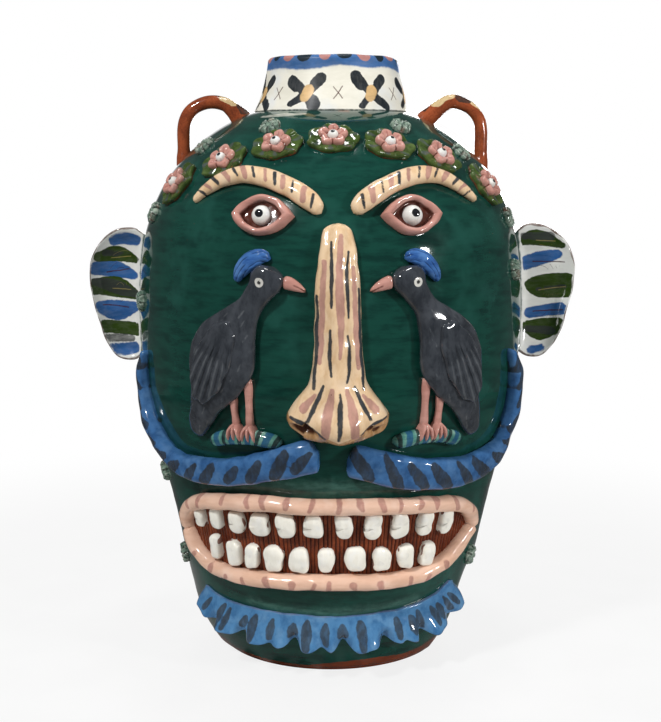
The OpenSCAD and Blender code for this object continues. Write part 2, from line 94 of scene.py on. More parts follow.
def linear(colour: Colour) -> Row:
    """Turns a colour from 0 to 255 into the values a shader takes.

    Args:
        colour: red, green and blue as a screen shows them.
    Returns:
        The same colour in linear light, with its alpha.
    """
    parts = [c / 255 for c in colour]
    parts = [c / 12.92 if c <= 0.04045 else ((c + 0.055) / 1.055) ** 2.4 for c in parts]
    return (parts[0], parts[1], parts[2], 1.0)


def smooth(low: float, high: float, value: Array) -> Array:
    """Soft step from 0 at low to 1 at high."""
    t = np.clip((value - low) / (high - low), 0, 1)
    return t * t * (3 - 2 * t)


def ripple(points: Array, size: float, seed: float = 0.0) -> Array:
    """Smooth waves of a size in millimetres at each point, from about -1 to 1; the seed shifts them."""
    flat = (points.reshape(-1, 3) / size + seed).tolist()
    return np.array([noise.noise(p) for p in flat]).reshape(points.shape[:-1])


def wander(points: Array, size: float, seed: float = 0.0) -> Array:
    """Smooth shift in x, y and z at each point, as ripple gives for one value."""
    flat = (points.reshape(-1, 3) / size + seed).tolist()
    return np.array([tuple(noise.noise_vector(p)) for p in flat]).reshape(points.shape)


def points_at(x: Array, y: Array, z: Array) -> Array:
    """Points from their x, y and z."""
    return np.stack(np.broadcast_arrays(x, y, z), -1)


def curve(table: Sequence[Sequence[float]], steps: int) -> Array:
    """Smooth curve through the rows of a table.

    Args:
        table: rows of numbers.
        steps: new rows for each pair of old ones.
    Returns:
        The rows of the curve, from the first row to the last.
    """
    rows = np.array(table, float)
    last = len(rows) - 1
    t = (np.arange(steps) / steps)[:, None]
    parts = []
    for i in range(last):
        a, b, c, d = rows[max(i - 1, 0)], rows[i], rows[i + 1], rows[min(i + 2, last)]
        parts.append(0.5 * (2 * b + (c - a) * t + (2 * a - 5 * b + 4 * c - d) * t * t
                            + (3 * b - a - 3 * c + d) * t ** 3))
    return np.vstack(parts + [rows[last:]])


def closed_curve(table: Sequence[Sequence[float]], count: int) -> Array:
    """Smooth closed curve through points, evenly spaced along its length.

    Args:
        table: points of the outline in order.
        count: number of points wanted.
    Returns:
        An array of count points.
    """
    rows = [list(p) for p in table]
    padded = curve(rows[-2:] + rows + rows[:3], 12)[24:-24]
    run = np.r_[0, np.cumsum(np.linalg.norm(np.diff(padded, axis=0), axis=1))]
    at = np.linspace(0, run[-1], count, endpoint=False)
    return np.stack([np.interp(at, run, padded[:, k]) for k in range(padded.shape[1])], 1)


def daub(u: Array, v: Array, marks: Iterable[Mark]) -> Array:
    """How deep each point lies inside a set of round-ended brush marks.

    Args:
        u: place along the piece in millimetres.
        v: place across the piece in millimetres.
        marks: each mark's two ends, as place along, place across and radius.
    Returns:
        Millimetres inside the nearest mark's edge, less than zero outside all of them.
    """
    best = np.full(np.broadcast(u, v).shape, FAR)
    for u0, v0, r0, u1, v1, r1 in marks:
        du, dv = u1 - u0, v1 - v0
        length = max(du * du + dv * dv, 1e-6)
        t = np.clip(((u - u0) * du + (v - v0) * dv) / length, 0, 1)
        gap = np.hypot(u - u0 - t * du, v - v0 - t * dv)
        best = np.maximum(best, r0 + (r1 - r0) * t - gap)
    return best


def thick_line(points: Sequence[Trio]) -> List[Mark]:
    """Marks that join up into one smooth stroke through points with a radius each."""
    rows = curve(points, 4)
    return [(*a, *b) for a, b in zip(rows, rows[1:])]


def brush(strokes: Iterable[Sequence[Trio]]) -> List[Mark]:
    """Marks of several smooth strokes."""
    return [mark for points in strokes for mark in thick_line(points)]


def scratch(u: Array, v: Array, lines: Iterable[Row]
            ) -> Tuple[Array, Array]:
    """Fields of thin straight lines, which stay sharp on a coarse mesh.

    Args:
        u: place along the piece in millimetres.
        v: place across the piece in millimetres.
        lines: the two ends of each line.
    Returns:
        The signed distance to the nearest line, and how far past its ends a point lies.
    """
    shape = np.broadcast(u, v).shape
    off, past, best = np.full(shape, 9.0), np.full(shape, 9.0), np.full(shape, 1e9)
    for u0, v0, u1, v1 in lines:
        length = math.hypot(u1 - u0, v1 - v0)
        du, dv = (u1 - u0) / length, (v1 - v0) / length
        along = (u - u0) * du + (v - v0) * dv - length / 2
        across = (v - v0) * du - (u - u0) * dv
        beyond = np.abs(along) - length / 2
        gap = np.hypot(np.maximum(beyond, 0), across)
        near = (gap < best) & (gap < 5)
        off, past = np.where(near, across, off), np.where(near, beyond, past)
        best = np.minimum(best, gap)
    return off, past


@dataclass(frozen=True)
class Wall:
    """Outer wall of the thrown pot, in millimetres and degrees round from the front."""

    foot_r: float = 86.0
    belly_r: float = 146.0
    neck_r: float = 58.0
    belly_h: float = 250.0
    height: float = 410.0
    feel: float = 5.125
    thickness: float = 8.0
    floor: float = 10.0
    foot_shares: Tuple[Pair, ...] = (
        (0, 0), (0.05, 0.14), (0.12, 0.29), (0.24, 0.43), (0.36, 0.53), (0.48, 0.64),
        (0.64, 0.8), (0.8, 0.93), (0.92, 0.985), (1, 1))
    shoulder_powers: Pair = (0.625, 1.6)

    def outline(self) -> Array:
        """Profile of the wall from the foot to the neck.

        Returns:
            Rows of height and radius.
        """
        low = curve(self.foot_shares, 14)
        low = np.c_[low[:, 0] * self.belly_h, self.foot_r + (self.belly_r - self.foot_r) * low[:, 1]]
        turn = np.radians(90 * (np.arange(1, 121) / 120) ** 1.3)
        rise, swell = self.shoulder_powers
        high = np.c_[self.belly_h + (self.height - self.belly_h) * np.sin(turn) ** rise,
                     self.neck_r + (self.belly_r - self.neck_r) * np.maximum(np.cos(turn), 0) ** swell]
        return np.vstack([low, high])

    def radius(self, z: Array) -> Array:
        """Radius of the wall at a height."""
        return np.interp(z, WALL_LINE[:, 0], WALL_LINE[:, 1])

    def slope(self, z: Array) -> Array:
        """Angle in radians by which the wall faces upwards at a height."""
        low, high = np.maximum(z - self.feel, 0), np.minimum(z + self.feel, self.height)
        return np.arctan2(self.radius(low) - self.radius(high), high - low)

    def over(self, az: Array, z: Array, relief: Union[float, Array]) -> Array:
        """Points over places on the wall.

        Args:
            az: degrees round from the front.
            z: height in millimetres.
            relief: distance off the wall in millimetres.
        Returns:
            Points in millimetres, the last axis being x, y and z.
        """
        slope, turn = self.slope(z), np.radians(az)
        r = self.radius(z) + relief * np.cos(slope)
        return points_at(r * np.sin(turn), -r * np.cos(turn), z + relief * np.sin(slope))

    def beside(self, az: float, z: float, side: Array, up: Array, relief: Array) -> Array:
        """Points over the wall at a distance from a place on it, measured along the wall."""
        return self.over(az + np.degrees(side / self.radius(z)), z + up * np.cos(self.slope(z)), relief)


WALL = Wall()
WALL_LINE = WALL.outline()
FACE_TURN = 2.0


@dataclass
class Clay:
    """A piece in the making: closed skins of rings, with painted fields at their points."""

    points: List[Array] = field(default_factory=list)
    faces: List[List[Tuple[int, ...]]] = field(default_factory=list)
    fields: Dict[str, List[Array]] = field(default_factory=dict)
    size: int = 0

    def skin(self, rings: Array, hoop: bool = False, **painted: Array) -> "Clay":
        """Adds a closed skin.

        Args:
            rings: points as an array of ring, place on the ring, and x, y and z in millimetres.
            hoop: joins the last ring to the first, where a skin otherwise closes at each end in a point.
            painted: one value for each point of the rings, for each field.
        Returns:
            The piece.
        """
        count, around = rings.shape[:2]
        ends = 0 if hoop else 1
        start, total = self.size, count * around + 2 * ends
        i = np.arange(around)
        j = (i + 1) % around
        base = start + ends
        for k in range(count - ends):
            a, b = base + k * around, base + (k + 1) % count * around
            self.faces.append(np.c_[a + i, a + j, b + j, b + i].tolist())
        if not hoop:
            end, tail = start + total - 1, base + (count - 1) * around
            self.faces.append(np.c_[np.full(around, start), base + j, base + i].tolist())
            self.faces.append(np.c_[np.full(around, end), tail + i, tail + j].tolist())
        first, last = rings[0].mean(0)[None], rings[-1].mean(0)[None]
        self.points.append(np.vstack([first[:ends], rings.reshape(-1, 3), last[:ends]]))
        for name in sorted(set(self.fields) | set(painted)):
            values = np.full(total, FAR)
            if name in painted:
                laid = np.broadcast_to(painted[name], (count, around))
                values = np.r_[[laid[0].mean()] * ends, laid.ravel(), [laid[-1].mean()] * ends]
            self.fields.setdefault(name, [np.full(start, FAR)]).append(values)
        self.size += total
        return self

    def fire(self, node: str, finish: "Finish", slot: str) -> None:
        """Makes the piece's object, which stands for a node of the frame and takes the finish.

        Args:
            node: node of the frame that the piece replaces.
            finish: the finish that dresses it.
            slot: not used.
        """
        mesh = bpy.data.meshes.new(node + "_clay")
        faces = [face for part in self.faces for face in part]
        mesh.from_pydata((np.vstack(self.points) * MM).tolist(), [], faces)
        mesh.validate()
        mesh.update()
        for mark in finish.marks:
            self.fields.setdefault(mark.field, [np.full(self.size, FAR)])
        for name, parts in self.fields.items():
            layer = mesh.attributes.new(name, "FLOAT", "POINT")
            layer.data.foreach_set("value", np.concatenate(parts).astype(np.float32))
        mesh.polygons.foreach_set("use_smooth", [True] * len(mesh.polygons))
        piece = bpy.data.objects.new(node + "_fired", mesh)
        bpy.context.scene.collection.objects.link(piece)
        mesh.materials.append(finish.material())
        turn_outwards(mesh)
        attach(piece, BODY)
        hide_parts(node)
        log.info("%s: %d points, %s", piece.name, len(mesh.vertices), finish.name)


def turn_outwards(mesh: bpy.types.Mesh) -> None:
    """Turns a closed mesh's faces outwards if its volume comes out negative.

    Args:
        mesh: the mesh.
    """
    co = np.zeros(len(mesh.vertices) * 3, np.float32)
    mesh.vertices.foreach_get("co", co)
    co = co.reshape(-1, 3).astype(float)
    mesh.calc_loop_triangles()
    tri = np.zeros(len(mesh.loop_triangles) * 3, np.int32)
    mesh.loop_triangles.foreach_get("vertices", tri)
    a, b, c = (co[tri.reshape(-1, 3)[:, k]] for k in range(3))
    if np.einsum("ij,ij->i", a, np.cross(b, c)).sum() < 0:
        mesh.flip_normals()


class Bench:
    """The node tree of a material or a world, with short calls for the nodes that the finishes share."""

    def __init__(self, name: str, shelf: Optional[bpy.types.bpy_prop_collection] = None) -> None:
        """Starts an empty node tree.

        Args:
            name: name of the material or world.
            shelf: where it is kept, among the materials if not given.
        """
        self.made = (bpy.data.materials if shelf is None else shelf).new(name)
        self.made.use_nodes = True
        self.tree = self.made.node_tree
        self.tree.nodes.clear()
        self.coords = self.add("ShaderNodeTexCoord").outputs
        self.place = self.coords["Object"]

    def add(self, kind: str, inputs: Optional[Dict[Union[int, str], object]] = None, **settings: object
            ) -> bpy.types.Node:
        """Adds a node.

        Args:
            kind: Blender's name for the node.
            inputs: what goes into it, by an input's name or number: a socket or a plain value.
            settings: its settings.
        Returns:
            The node.
        """
        node = self.tree.nodes.new(kind)
        for name, value in settings.items():
            setattr(node, name, value)
        for name, value in (inputs or {}).items():
            self.feed(node.inputs[name], value)
        return node

    def feed(self, socket: Socket, value: object) -> None:
        """Links a socket to an input, or sets the input's own value.

        Args:
            socket: the input.
            value: a socket or a plain value.
        """
        if isinstance(value, bpy.types.NodeSocket):
            self.tree.links.new(value, socket)
        else:
            socket.default_value = value

    def painted(self, name: str) -> Socket:
        """Value of a painted field at a point, in millimetres."""
        return self.add("ShaderNodeAttribute", attribute_type="GEOMETRY", attribute_name=name).outputs["Fac"]

    def sum(self, kind: str, a: Level, b: Level = 0.0, c: Level = 0.0) -> Socket:
        """Result of a sum on up to three values, by Blender's name for the operation."""
        return self.add("ShaderNodeMath", {0: a, 1: b, 2: c}, operation=kind).outputs[0]

    def grain(self, size: float, detail: float = 3.0, rough: float = 0.5,
              stretch: Trio = (1, 1, 1), turn: float = 0.0) -> Socket:
        """Noise of a size in millimetres, between 0 and 1.

        Args:
            size: size of its features.
            detail: number of finer layers.
            rough: strength of the finer layers.
            stretch: how much finer it is along x, y and z.
            turn: degrees by which it leans.
        Returns:
            The noise's socket.
        """
        place = self.place
        if stretch != (1, 1, 1) or turn:
            rotation = (0, math.radians(turn), 0)
            place = self.add("ShaderNodeMapping", {"Vector": place, "Scale": stretch, "Rotation": rotation}).outputs[0]
        inputs = {"Vector": place, "Scale": 1000 / size, "Detail": detail, "Roughness": rough}
        return self.add("ShaderNodeTexNoise", inputs).outputs["Fac"]

    def step(self, value: Level, low: float, high: float, out: Pair = (0.0, 1.0)) -> Socket:
        """Soft step of a value from low to high, with out for the results below and above it."""
        inputs = {"Value": value, "From Min": low, "From Max": high, "To Min": out[0], "To Max": out[1]}
        return self.add("ShaderNodeMapRange", inputs, interpolation_type="SMOOTHSTEP").outputs[0]

    def apart(self, vector: Socket) -> Socket:
        """Second part of a vector, its y."""
        return self.add("ShaderNodeSeparateXYZ", {0: vector}).outputs["Y"]

    def seen(self, path: bpy.types.bpy_prop_collection, gloss: Level) -> Socket:
        """1 for a ray from the camera and for one through glass, and the value of gloss for the rest."""
        return self.sum("MAXIMUM", self.sum("MAXIMUM", path["Is Camera Ray"], path["Is Transmission Ray"]), gloss)

    def mix(self, share: Level, under: object, over: object) -> Socket:
        """Lays one colour over another.

        Args:
            share: how much of the upper colour shows.
            under: lower colour.
            over: upper colour.
        Returns:
            The mixed colour's socket.
        """
        node = self.add("ShaderNodeMix", {"Factor": share}, data_type="RGBA")
        for socket, value in zip([s for s in node.inputs if s.type == "RGBA"], (under, over)):
            self.feed(socket, value)
        return [s for s in node.outputs if s.type == "RGBA"][0]

    def specks(self, size: float, width: float) -> Socket:
        """Small round dots strewn over the surface, 1 in a dot.

        Args:
            size: spacing of the dots in millimetres.
            width: their width as a share of the spacing.
        Returns:
            The dots' socket.
        """
        node = self.add("ShaderNodeTexVoronoi", {"Vector": self.place, "Scale": 1000 / size}, feature="F1")
        near = self.step(node.outputs["Distance"], width * 0.6, width, (1.0, 0.0))
        return self.sum("MULTIPLY", near, self.step(self.grain(size * 3.1, 1), 0.52, 0.6))


@dataclass(frozen=True)
class BrushMark:
    """Paint laid where a field is above zero, or along a thin line."""

    field: str
    colour: Colour
    kind: MarkKind = MarkKind.FILL
    width: float = 0.0
    ragged: float = 0.7
    soft: float = 0.22
    cover: float = 0.94
    worn: float = 0.2
    hairs: Trio = (1, 1, 0.35)

    def mask(self, bench: Bench) -> Socket:
        """Where the paint shows, from 0 to 1.

        Args:
            bench: node tree to add to.
        Returns:
            The mask's socket.
        """
        wobble = bench.sum("MULTIPLY_ADD", bench.grain(5.0, 3, 0.6), self.ragged * 2, -self.ragged)
        if self.kind is MarkKind.LINE:
            wave = bench.sum("MULTIPLY", wobble, 0.5)
            off = bench.sum("ABSOLUTE", bench.sum("ADD", bench.painted(self.field), wave))
            past = bench.sum("MULTIPLY", bench.painted(self.field + "_past"), -0.6)
            depth = bench.sum("MINIMUM", bench.sum("SUBTRACT", self.width, off), past)
        else:
            depth = bench.sum("ADD", bench.painted(self.field), wobble)
        edge = 6.0 if self.kind is MarkKind.WASH else self.soft
        shown = bench.step(depth, -edge, edge)
        streaks = bench.step(bench.grain(3.2, 4, 0.65, self.hairs, 18), 0.3, 0.62, (1 - self.worn, 1.0))
        return bench.sum("MULTIPLY", bench.sum("MULTIPLY", shown, streaks), self.cover)


@dataclass(frozen=True)
class Finish:
    """Base of the finishes: a name, and a material made once."""

    name: str
    marks: Tuple[BrushMark, ...] = ()

    def material(self) -> bpy.types.Material:
        """The finish's material, made at its first use."""
        return bpy.data.materials.get(self.name) or self.mixed()

    def mixed(self) -> bpy.types.Material:
        """Makes the material."""
        raise NotImplementedError


@dataclass(frozen=True)
class Glaze(Finish):
    """Brushed glaze under a clear glossy coat, thin over the edges of the clay."""

    colour: Colour = (200, 200, 200)
    deep: Colour = (180, 180, 180)
    pale: Colour = (220, 220, 220)
    brush: float = 9.0
    stretch: Trio = (0.35, 0.35, 1.6)
    lean: float = 12.0
    cloud: float = 24.0
    breaks: Colour = (120, 62, 40)
    break_from: float = 0.56
    break_cover: float = 0.75
    pits: float = 0.05
    pit_colour: Colour = (52, 36, 30)
    rough: float = 0.13
    bump: float = 0.35
    coat: float = 0.6
    coat_rough: float = 0.035

    def mixed(self) -> bpy.types.Material:
        """Makes the glaze's material.

        Returns:
            The material.
        """
        bench = Bench(self.name)
        streak = bench.grain(self.brush, 5, 0.62, self.stretch, self.lean)
        cross = bench.grain(self.brush * 1.4, 4, 0.6, self.stretch, self.lean - 70)
        laid = bench.sum("MULTIPLY_ADD", cross, 0.35, bench.sum("MULTIPLY", streak, 0.65))
        colour = bench.mix(bench.step(laid, 0.36, 0.6), linear(self.deep), linear(self.colour))
        clouds = bench.step(bench.grain(self.cloud, 3, 0.55), 0.48, 0.72, (0.0, 0.75))
        colour = bench.mix(clouds, colour, linear(self.pale))
        height = bench.sum("MULTIPLY", laid, 0.5)
        for mark in self.marks:
            mask = mark.mask(bench)
            thin = linear(tuple(int(c * 0.82) for c in mark.colour))
            tone = bench.mix(bench.step(laid, 0.35, 0.65), thin, linear(mark.colour))
            colour = bench.mix(mask, colour, tone)
            if mark.kind is MarkKind.FILL:
                height = bench.sum("MULTIPLY_ADD", mask, 0.35, height)
        edge = bench.add("ShaderNodeNewGeometry").outputs["Pointiness"]
        edge = bench.sum("ADD", edge, bench.sum("MULTIPLY_ADD", bench.grain(7.0, 3), 0.05, -0.025))
        thin = bench.step(edge, self.break_from, self.break_from + 0.05, (0.0, self.break_cover))
        colour = bench.mix(thin, colour, linear(self.breaks))
        if self.pits:
            pits = bench.specks(7.0, self.pits)
            colour = bench.mix(pits, colour, linear(self.pit_colour))
            height = bench.sum("SUBTRACT", height, pits)
        rough = bench.step(bench.grain(30.0, 3), 0.3, 0.7, (self.rough * 0.7, self.rough * 1.5))
        height = bench.sum("MULTIPLY_ADD", bench.grain(2.6, 2), 0.3, height)
        return shade(bench, colour, rough, height, self.bump, self.coat, self.coat_rough)


@dataclass(frozen=True)
class BareClay(Finish):
    """Fired red clay with no glaze, or with a thin clear one."""

    colour: Colour = (150, 74, 42)
    deep: Colour = (104, 48, 28)
    grit: Colour = (66, 34, 24)
    rough: float = 0.5
    coat: float = 0.15
    bump: float = 0.5

    def mixed(self) -> bpy.types.Material:
        """Makes the clay's material.

        Returns:
            The material.
        """
        bench = Bench(self.name)
        patch = bench.grain(16.0, 4, 0.6)
        sand = bench.grain(1.1, 3, 0.7)
        tone = bench.sum("MULTIPLY_ADD", sand, 0.4, bench.sum("MULTIPLY", patch, 0.6))
        colour = bench.mix(bench.step(tone, 0.36, 0.62), linear(self.deep), linear(self.colour))
        for mark in self.marks:
            colour = bench.mix(mark.mask(bench), colour, linear(mark.colour))
        grit = bench.specks(4.0, 0.12)
        colour = bench.mix(bench.sum("MULTIPLY", grit, 0.6), colour, linear(self.grit))
        rough = bench.step(patch, 0.3, 0.7, (self.rough * 0.8, self.rough * 1.2))
        return shade(bench, colour, rough, bench.sum("SUBTRACT", sand, grit), self.bump, self.coat)


def shade(bench: Bench, colour: Socket, rough: Level, height: Socket, bump: float, coat: float,
          coat_rough: float = 0.035) -> bpy.types.Material:
    """Joins a finish's colour and height to the shader.

    Args:
        bench: the finish's node tree.
        colour: its colour.
        rough: its roughness.
        height: its unevenness.
        bump: depth of the unevenness, in tenths of a millimetre.
        coat: weight of the clear coat.
        coat_rough: roughness of the clear coat.
    Returns:
        The finished material.
    """
    normal = bench.add("ShaderNodeBump", {"Distance": bump * 0.1 * MM, "Height": height}).outputs[0]
    body = bench.add("ShaderNodeBsdfPrincipled", {
        "Base Color": colour, "Roughness": rough, "Normal": normal, "Coat Normal": normal, "IOR": 1.5,
        "Specular IOR Level": 0.15, "Coat Weight": coat, "Coat Roughness": coat_rough, "Coat IOR": 1.5})
    bench.add("ShaderNodeOutputMaterial", {"Surface": body.outputs[0]})
    return bench.made


@dataclass
class Spine:
    """The line that a strip of clay follows on the wall, sampled evenly along its length."""

    table: Sequence[Row]
    width: float
    out: float
    side: Optional[Side] = None
    spacing: float = 1.1
    run: Array = field(init=False)
    az: Array = field(init=False)
    z: Array = field(init=False)
    wide: Array = field(init=False)
    high: Array = field(init=False)
    way: Array = field(init=False)

    def __post_init__(self) -> None:
        """Samples the line."""
        rows = curve(self.table, 24)
        az = rows[:, 0] if self.side is None else FACE_TURN + self.side.value * rows[:, 0]
        z = rows[:, 1] * WALL.height
        step_side = np.radians(np.diff(az)) * WALL.radius(z[1:])
        step_up = np.diff(z) / np.cos(WALL.slope(z[1:]))
        run = np.r_[0, np.cumsum(np.hypot(step_side, step_up))]
        self.run = np.linspace(0, run[-1], max(int(run[-1] / self.spacing), 8))
        self.az, self.z = np.interp(self.run, run, az), np.interp(self.run, run, z)
        self.wide = np.interp(self.run, run, rows[:, 2]) * self.width
        self.high = np.interp(self.run, run, rows[:, 3]) * self.out
        side = np.radians(np.gradient(self.az)) * WALL.radius(self.z)
        up = np.gradient(self.z) / np.cos(WALL.slope(self.z))
        length = np.hypot(side, up)
        self.way = np.stack([side / length, up / length], 1)

    @property
    def length(self) -> float:
        """Length of the line in millimetres."""
        return float(self.run[-1])

    def along(self, az: float) -> float:
        """Place along the line nearest to a number of degrees round from the front."""
        return float(self.run[np.argmin(np.abs(self.az - az))])

    def loft(self, x: Array, y: Array) -> Array:
        """Rings across the line.

        Args:
            x: place across in millimetres, for each ring and place on it, above the line being positive.
            y: relief over the wall in millimetres.
        Returns:
            Points in millimetres.
        """
        way_side, way_up = self.way[:, 0][:, None], self.way[:, 1][:, None]
        z = self.z[:, None]
        az = self.az[:, None] + np.degrees(-way_up * x / WALL.radius(z))
        return WALL.over(az, z + way_side * x * np.cos(WALL.slope(z)), y)


@dataclass
class Coil(Spine):
    """A coil of clay pressed on the wall along a line."""

    section: Section = Section.ROUND
    shape: Sequence[Pair] = ()
    end: float = 4.0
    around: int = 44
    uneven: float = 0.5
    seed: float = 0.0

    def ring(self) -> Array:
        """Places round one ring.

        Returns:
            Rows of the shares of half the width and of the relief.
        """
        if self.shape:
            return closed_curve(self.shape, self.around)
        wide, high, middle = self.section.value
        a = np.linspace(0, 2 * np.pi, self.around, endpoint=False)
        y = flatten(np.sin(a), high)
        return np.c_[flatten(np.cos(a), wide), np.where(y > 0, middle + (1 - middle) * y, middle * (1 + y))]

    def places(self) -> Tuple[Array, Array, Array]:
        """Place of each point along the line, across it and off the wall, falling to nothing round the ends.

        Returns:
            The three arrays, in millimetres.
        """
        line = self.ring()
        t = np.clip(1 - np.minimum(self.run, self.length - self.run) / self.end, 0, 1)
        full = np.sqrt(np.maximum(1 - t * t, 0.0004))[:, None]
        x = line[:, 0] * self.wide[:, None] / 2 * full
        y = line[:, 1] * self.high[:, None] * (0.25 + 0.75 * full)
        return np.broadcast_to(self.run[:, None], x.shape), x, y - smooth(0.12, 0.0, line[:, 1]) * SINK

    def rings(self) -> Tuple[Array, Array, Array]:
        """The coil's rings, uneven as if pressed by hand.

        Returns:
            The points, and their places along and across for painting.
        """
        u, x, y = self.places()
        dent = ripple(points_at(u, x, y), 17.0, self.seed + 3.7)
        points = self.loft(x, y * (1 + 0.18 * dent * self.uneven))
        return points + wander(points, 11.0, self.seed) * self.uneven, u, x


@dataclass
class Pad:
    """A pad of clay on the wall round a place."""

    az: float
    z: float
    outline: Array
    tiers: Sequence[Pair]
    out: float
    base: float = 0.0
    sink: float = SINK
    steps: int = 6
    uneven: float = 0.4
    seed: float = 0.0
    turn: float = 0.0

    def places(self) -> Tuple[Array, Array, Array, Array]:
        """Each point's size as a share of the outline's, and its place sideways, upwards and off the base.

        Returns:
            The four arrays, the last three in millimetres.
        """
        rows = curve(self.tiers, self.steps)
        size = rows[:, 0][:, None] * np.ones(len(self.outline))
        return size, size * self.outline[:, 0], size * self.outline[:, 1], rows[:, 1][:, None] * self.out + 0 * size

    def press(self, clay: Clay, relief: Array, low: Optional[Dict[str, float]] = None, **painted: Array) -> Clay:
        """Presses the pad on the wall, closed below by two rings sunk into it.

        Args:
            clay: the piece that it is part of.
            relief: height of each point over the base in millimetres.
            low: value of a field at the two rings, where it isn't blank.
            painted: one value for each point, for each field.
        Returns:
            The piece.
        """
        _, x, y, _ = self.places()
        t = math.radians(self.turn)
        side, up = x * math.cos(t) - y * math.sin(t), x * math.sin(t) + y * math.cos(t)
        points = WALL.beside(self.az, self.z, side, up, self.base + relief)
        points = points + wander(points, 9.0, self.seed) * self.uneven
        inset = np.array([[0.5], [0.97]])
        under = WALL.beside(self.az, self.z, side[0] * inset, up[0] * inset, self.base - self.sink)
        fields = {name: np.concatenate([np.full(under.shape[:2], (low or {}).get(name, FAR)), value])
                  for name, value in painted.items()}
        return clay.skin(np.concatenate([under, points]), **fields)


def flatten(wave: Array, power: Union[float, Array]) -> Array:
    """A wave between -1 and 1 with its crests broadened by a power below 1."""
    return np.sign(wave) * np.abs(wave) ** power


def oval(w: float, h: float, count: int, wave: float = 0.0, lobes: int = 1, turn: float = 0.0) -> Array:
    """Outline of an oval, which may be lobed and turned.

    Args:
        w: width in millimetres.
        h: height in millimetres.
        count: number of points.
        wave: depth of the lobes as a share of the size.
        lobes: number of lobes.
        turn: degrees by which it is turned, counter-clockwise.
    Returns:
        The outline's points.
    """
    a = np.linspace(0, 2 * np.pi, count, endpoint=False)
    k = 1 - wave + wave * np.cos(lobes * a)
    x, y, t = w / 2 * np.cos(a) * k, h / 2 * np.sin(a) * k, math.radians(turn)
    return np.stack([x * math.cos(t) - y * math.sin(t), x * math.sin(t) + y * math.cos(t)], 1)


def almond(w: float, h: float, count: int) -> Array:
    """Outline of an eye with pointed corners."""
    a = np.linspace(0, 2 * np.pi, count, endpoint=False)
    return np.stack([w / 2 * np.cos(a), h / 2 * np.sin(a) * np.abs(np.sin(a)) ** 0.8], 1)


def block(w: float, h: float, count: int, square: Union[float, Array]) -> Array:
    """Outline of a box with rounded corners; square is 1 for an ellipse and 0 for a box."""
    a = np.linspace(0, 2 * np.pi, count, endpoint=False) + 0.06
    return np.stack([w / 2 * flatten(np.cos(a), square), h / 2 * flatten(np.sin(a), square)], 1)


def thrown(line: Array, around: int) -> Tuple[Array, Array, Array, Array]:
    """Turns a profile round the jug's axis.

    Args:
        line: rows of radius and height.
        around: number of points round.
    Returns:
        Degrees round from the front, radius and height, shaped to broadcast, and the points.
    """
    turn = np.linspace(0, 2 * np.pi, around, endpoint=False)
    r, z = line[:, 0][:, None], line[:, 1][:, None]
    return (np.degrees(turn) + 180) % 360 - 180, r, z, points_at(r * np.sin(turn), -r * np.cos(turn), z)


